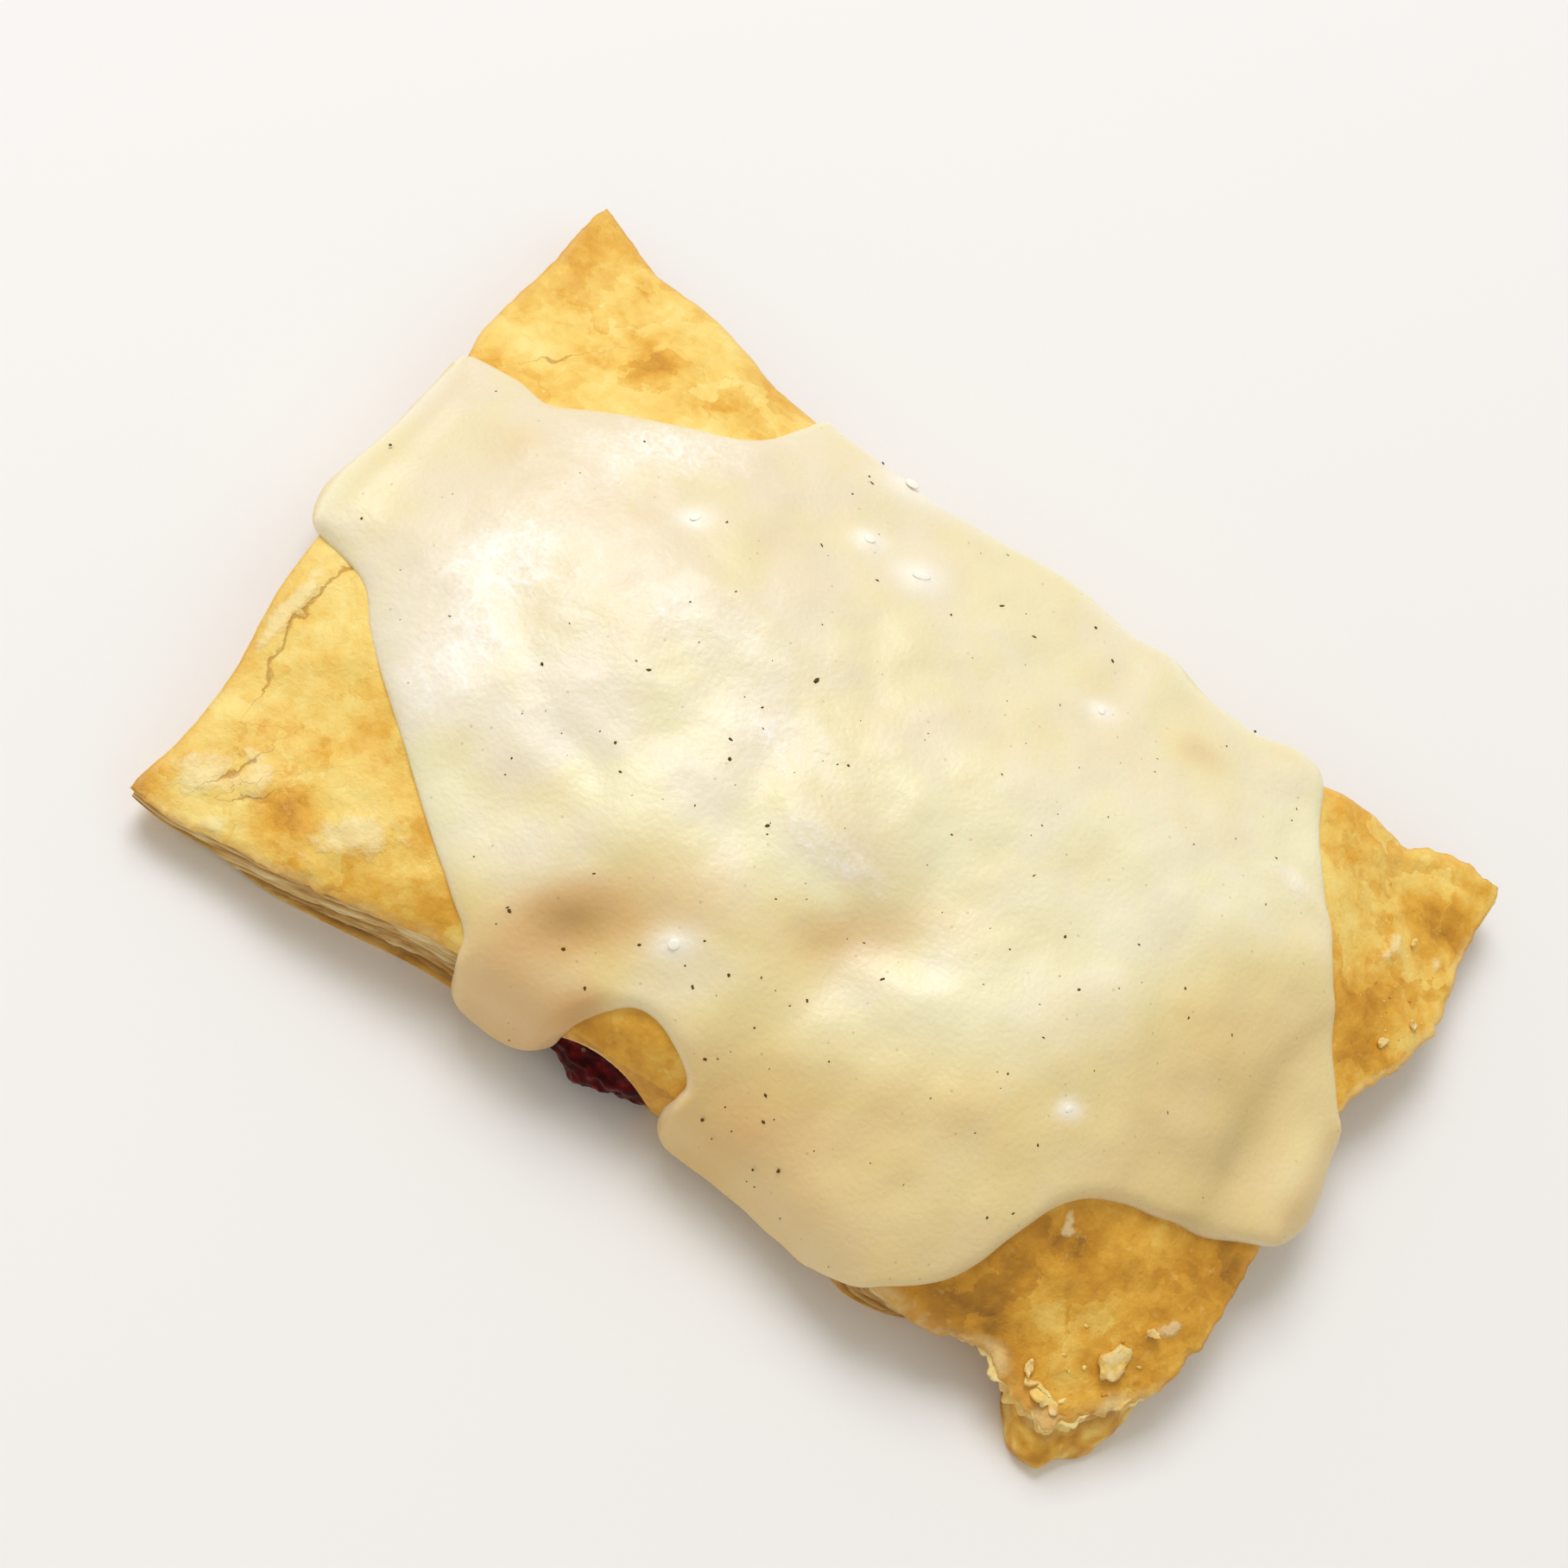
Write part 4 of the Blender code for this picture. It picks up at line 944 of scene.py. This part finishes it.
def icingMaterial():
    # satin ivory icing that lets some of the crust's tan through where it's thin, with painted shade where it turns
    # from the key light and a painted sheen of whiter grain and crinkle lines
    material, tree, shader = newMaterial("pouredVanillaIcing")
    place = addNode(tree, "ShaderNodeTexCoord", output=3)
    thin = addNode(tree, "ShaderNodeAttribute", {"attribute_name": "thin"}, output=2)
    sugar = addNode(tree, "ShaderNodeAttribute", {"attribute_name": "sugar"}, output=2)
    facingKeyLight = addNode(tree, "ShaderNodeAttribute", {"attribute_name": "facingKeyLight"}, output=2)
    cloud = addNode(tree, "ShaderNodeTexNoise", {"Scale": perMm(12), "Detail": 3.0}, {"Vector": place})
    green = addNode(tree, "ShaderNodeMapRange", {"From Min": 0.42, "From Max": 0.62}, {"Value": cloud})
    along = addNode(tree, "ShaderNodeSeparateXYZ", links={"Vector": place})
    along = addNode(tree, "ShaderNodeMapRange", {"From Min": -35 * mm, "From Max": 25 * mm, "To Max": 0.6},
                    {"Value": along})
    green = addNode(tree, "ShaderNodeMath", {"operation": "ADD"}, {0: green, 1: along})
    ivory = addNode(tree, "ShaderNodeMixRGB", {"Color1": hexColour("#F5EBD3"), "Color2": hexColour("#F5ECC4")},
                    {"Fac": green})
    tan = addNode(tree, "ShaderNodeValToRGB", {"stops": [
        (0.0, "#FFFFFF"), (0.15, "#FFFAF1"), (0.45, "#F0D9BE"), (0.75, "#D8BD9C"), (1.0, "#BBA080")]}, {"Fac": thin})
    colour = addNode(tree, "ShaderNodeMixRGB", {"blend_type": "MULTIPLY", "Fac": 1.0},
                     {"Color1": ivory, "Color2": tan})
    # painted shade and light: darker as the icing turns from the key light, white part way, a little darker again where
    # it faces the light fully
    paintedShadeTone = addNode(tree, "ShaderNodeValToRGB", {"stops": [
        (0.12, "#D9C698"), (0.42, "#F5E2C2"), (0.60, "#F8ECCE"), (0.78, "#FFFFFF"), (1.0, "#F2EBDC")]}, {"Fac": facingKeyLight})
    colour = addNode(tree, "ShaderNodeMixRGB", {"blend_type": "MULTIPLY", "Fac": 1.0},
                     {"Color1": colour, "Color2": paintedShadeTone})
    colour = addNode(tree, "ShaderNodeMixRGB", {"Color2": hexColour("#FCF4E2")}, {"Fac": sugar, "Color1": colour})
    sunk = addNode(tree, "ShaderNodeTexVoronoi", {"Scale": perMm(2.3)}, {"Vector": place})
    sunk = addNode(tree, "ShaderNodeMapRange", {"From Min": 0.05, "From Max": 0.09, "To Min": 0.28, "To Max": 0.0},
                   {"Value": sunk})
    colour = addNode(tree, "ShaderNodeMixRGB", {"Color2": hexColour("#8C7A50")}, {"Fac": sunk, "Color1": colour})
    grain = addNode(tree, "ShaderNodeTexNoise", {"Scale": perMm(0.6), "Detail": 4.0}, {"Vector": place})
    # painted sheen: whiter grain and pale crinkle lines in patches where the key light's reflection would fall
    paintedSheen = addNode(tree, "ShaderNodeAttribute", {"attribute_name": "paintedSheen"}, output=2)
    paintedSheenMask = addNode(tree, "ShaderNodeTexNoise", {"Scale": perMm(4.0), "Detail": 6.0, "Roughness": 0.65},
                   {"Vector": place})
    paintedSheenMask = addNode(tree, "ShaderNodeMath", {"operation": "ADD"}, {0: paintedSheenMask, 1: paintedSheen})
    paintedSheenMask = addNode(tree, "ShaderNodeMapRange", {"From Min": 0.66, "From Max": 1.2}, {"Value": paintedSheenMask})
    paintedSheenGrain = addNode(tree, "ShaderNodeMapRange", {"From Min": 0.42, "From Max": 0.58, "To Min": 0.5}, {"Value": grain})
    paintedSheenGrain = addNode(tree, "ShaderNodeMath", {"operation": "MULTIPLY"}, {0: paintedSheenGrain, 1: paintedSheenMask})
    colour = addNode(tree, "ShaderNodeMixRGB", {"Color2": hexColour("#FDF2E0")}, {"Fac": paintedSheenGrain, "Color1": colour})
    crinkle = addNode(tree, "ShaderNodeTexNoise", {"noise_type": "RIDGED_MULTIFRACTAL", "Scale": perMm(2.6),
                                                   "Detail": 4.0, "Offset": 1.0}, {"Vector": place})
    crinkled = addNode(tree, "ShaderNodeMath", {"operation": "MULTIPLY"}, {0: crinkle, 1: paintedSheenMask})
    lines = addNode(tree, "ShaderNodeMapRange", {"From Min": 0.75, "From Max": 1.4, "To Max": 0.7},
                    {"Value": crinkled})
    colour = addNode(tree, "ShaderNodeMixRGB", {"Color2": hexColour("#FFF9EC")}, {"Fac": lines, "Color1": colour})
    edgePale = addNode(tree, "ShaderNodeAttribute", {"attribute_name": "edgePale"}, output=2)
    rim = addNode(tree, "ShaderNodeMath", {"operation": "MULTIPLY", 1: 0.4}, {0: edgePale})
    colour = addNode(tree, "ShaderNodeMixRGB", {"Color2": hexColour("#F7EAD0")}, {"Fac": rim, "Color1": colour})
    tree.links.new(colour, shader.inputs["Base Color"])
    ripple = addNode(tree, "ShaderNodeTexNoise", {"Scale": perMm(2.4), "Detail": 2.0}, {"Vector": place})
    rough = addNode(tree, "ShaderNodeMapRange", {"From Min": 0.3, "From Max": 0.7, "To Min": 0.36, "To Max": 0.5},
                    {"Value": grain})
    tree.links.new(rough, shader.inputs["Roughness"])
    bump = addNode(tree, "ShaderNodeBump", {"Strength": 0.35, "Distance": 0.25 * mm}, {"Height": ripple})
    bump = addNode(tree, "ShaderNodeBump", {"Strength": 0.5, "Distance": 0.12 * mm},
                   {"Height": crinkled, "Normal": bump})
    bump = addNode(tree, "ShaderNodeBump", {"Strength": 1.0, "Distance": 0.09 * mm}, {"Height": grain, "Normal": bump})
    tree.links.new(bump, shader.inputs["Normal"])
    shader.inputs["Coat Weight"].default_value = 0.15
    shader.inputs["Coat Roughness"].default_value = 0.3
    shader.inputs["Subsurface Weight"].default_value = 0.25
    shader.inputs["Subsurface Radius"].default_value = (2.2, 1.5, 0.8)
    shader.inputs["Subsurface Scale"].default_value = mm
    return material


def fillingMaterial():
    # wet, dark wine red berries
    material, tree, shader = newMaterial("berryFilling")
    place = addNode(tree, "ShaderNodeTexCoord", output=3)
    patches = addNode(tree, "ShaderNodeTexNoise", {"Scale": perMm(1.5), "Detail": 3.0}, {"Vector": place})
    colour = addNode(tree, "ShaderNodeValToRGB", {"stops": [(0.35, "#2E0203"), (0.6, "#58080B"), (0.8, "#8E2622")]},
                     {"Fac": patches})
    tree.links.new(colour, shader.inputs["Base Color"])
    shader.inputs["Roughness"].default_value = 0.22
    shader.inputs["Specular IOR Level"].default_value = 0.06
    return material


def speckMaterial():
    # ground vanilla pod, dark brown
    material, tree, shader = newMaterial("vanillaPod")
    shader.inputs["Base Color"].default_value = hexColour("#5C4526")
    shader.inputs["Roughness"].default_value = 0.7
    shader.inputs["Specular IOR Level"].default_value = 0.1
    return material


def sugarMaterial():
    # undissolved sugar, white and a little wet
    material, tree, shader = newMaterial("whiteSugar")
    shader.inputs["Base Color"].default_value = hexColour("#FDF5E4")
    shader.inputs["Roughness"].default_value = 0.4
    return material


pastryFinish = crustMaterial()
for piece in (crustPiece, tornPiece, flakePiece, crumbPiece):
    piece.data.materials.append(pastryFinish)
icingPiece.data.materials.append(icingMaterial())
fillingPiece.data.materials.append(fillingMaterial())
speckPiece.data.materials.append(speckMaterial())
lumpPiece.data.materials.append(sugarMaterial())
print("finishes made")


# floor, light and camera

studio = {
    "floorSize": 6.0, "floorColour": "#F1EFEC",
    "world": 0.57, "keyWatts": 15.0, "keySize": 0.85, "keyDistance": 1.6, "keyWay": (-0.42, 0.34, 0.84),
    "aim": (-0.0081, 0.0038), "cameraDistance": 0.4313, "elevation": 64.0, "roll": 37.3, "lens": 89.5,
}


def makeStudio():
    startMesh()
    bpy.ops.mesh.primitive_plane_add(size=studio["floorSize"])
    floor = newPiece("floor")
    material, tree, shader = newMaterial("whitePaper")
    shader.inputs["Base Color"].default_value = hexColour(studio["floorColour"])
    shader.inputs["Roughness"].default_value = 0.7
    floor.data.materials.append(material)
    world = bpy.data.worlds.new("softDaylight")
    world.use_nodes = True
    sky = world.node_tree.nodes["Background"]
    sky.inputs["Color"].default_value = hexColour("#FFFDF4")
    sky.inputs["Strength"].default_value = studio["world"]
    bpy.context.scene.world = world
    way = Vector(studio["keyWay"]).normalized()
    bpy.ops.object.light_add(type="AREA", location=way * studio["keyDistance"])
    key = bpy.context.active_object
    key.name = "windowLight"
    key.data.energy = studio["keyWatts"]
    key.data.size = studio["keySize"]
    key.data.color = (0.99, 1.0, 1.07)
    key.rotation_euler = (-way).to_track_quat("-Z", "Y").to_euler()

    tilt = math.radians(studio["elevation"])
    back = Vector((0, -math.cos(tilt), math.sin(tilt)))
    across, up = Vector((1, 0, 0)), back.cross(Vector((1, 0, 0)))
    turn = math.radians(studio["roll"])
    right = across * math.cos(turn) + up * math.sin(turn)
    above = -(across * math.sin(turn) - up * math.cos(turn))
    bpy.ops.object.camera_add()
    camera = bpy.context.active_object
    place = Vector((*studio["aim"], 0)) + back * studio["cameraDistance"]
    camera.matrix_world = Matrix((right, above, back)).transposed().to_4x4()
    camera.location = place
    camera.data.lens = studio["lens"]
    camera.data.clip_start = 0.01
    bpy.context.scene.camera = camera
    bpy.context.scene.view_settings.view_transform = "Standard"


makeStudio()
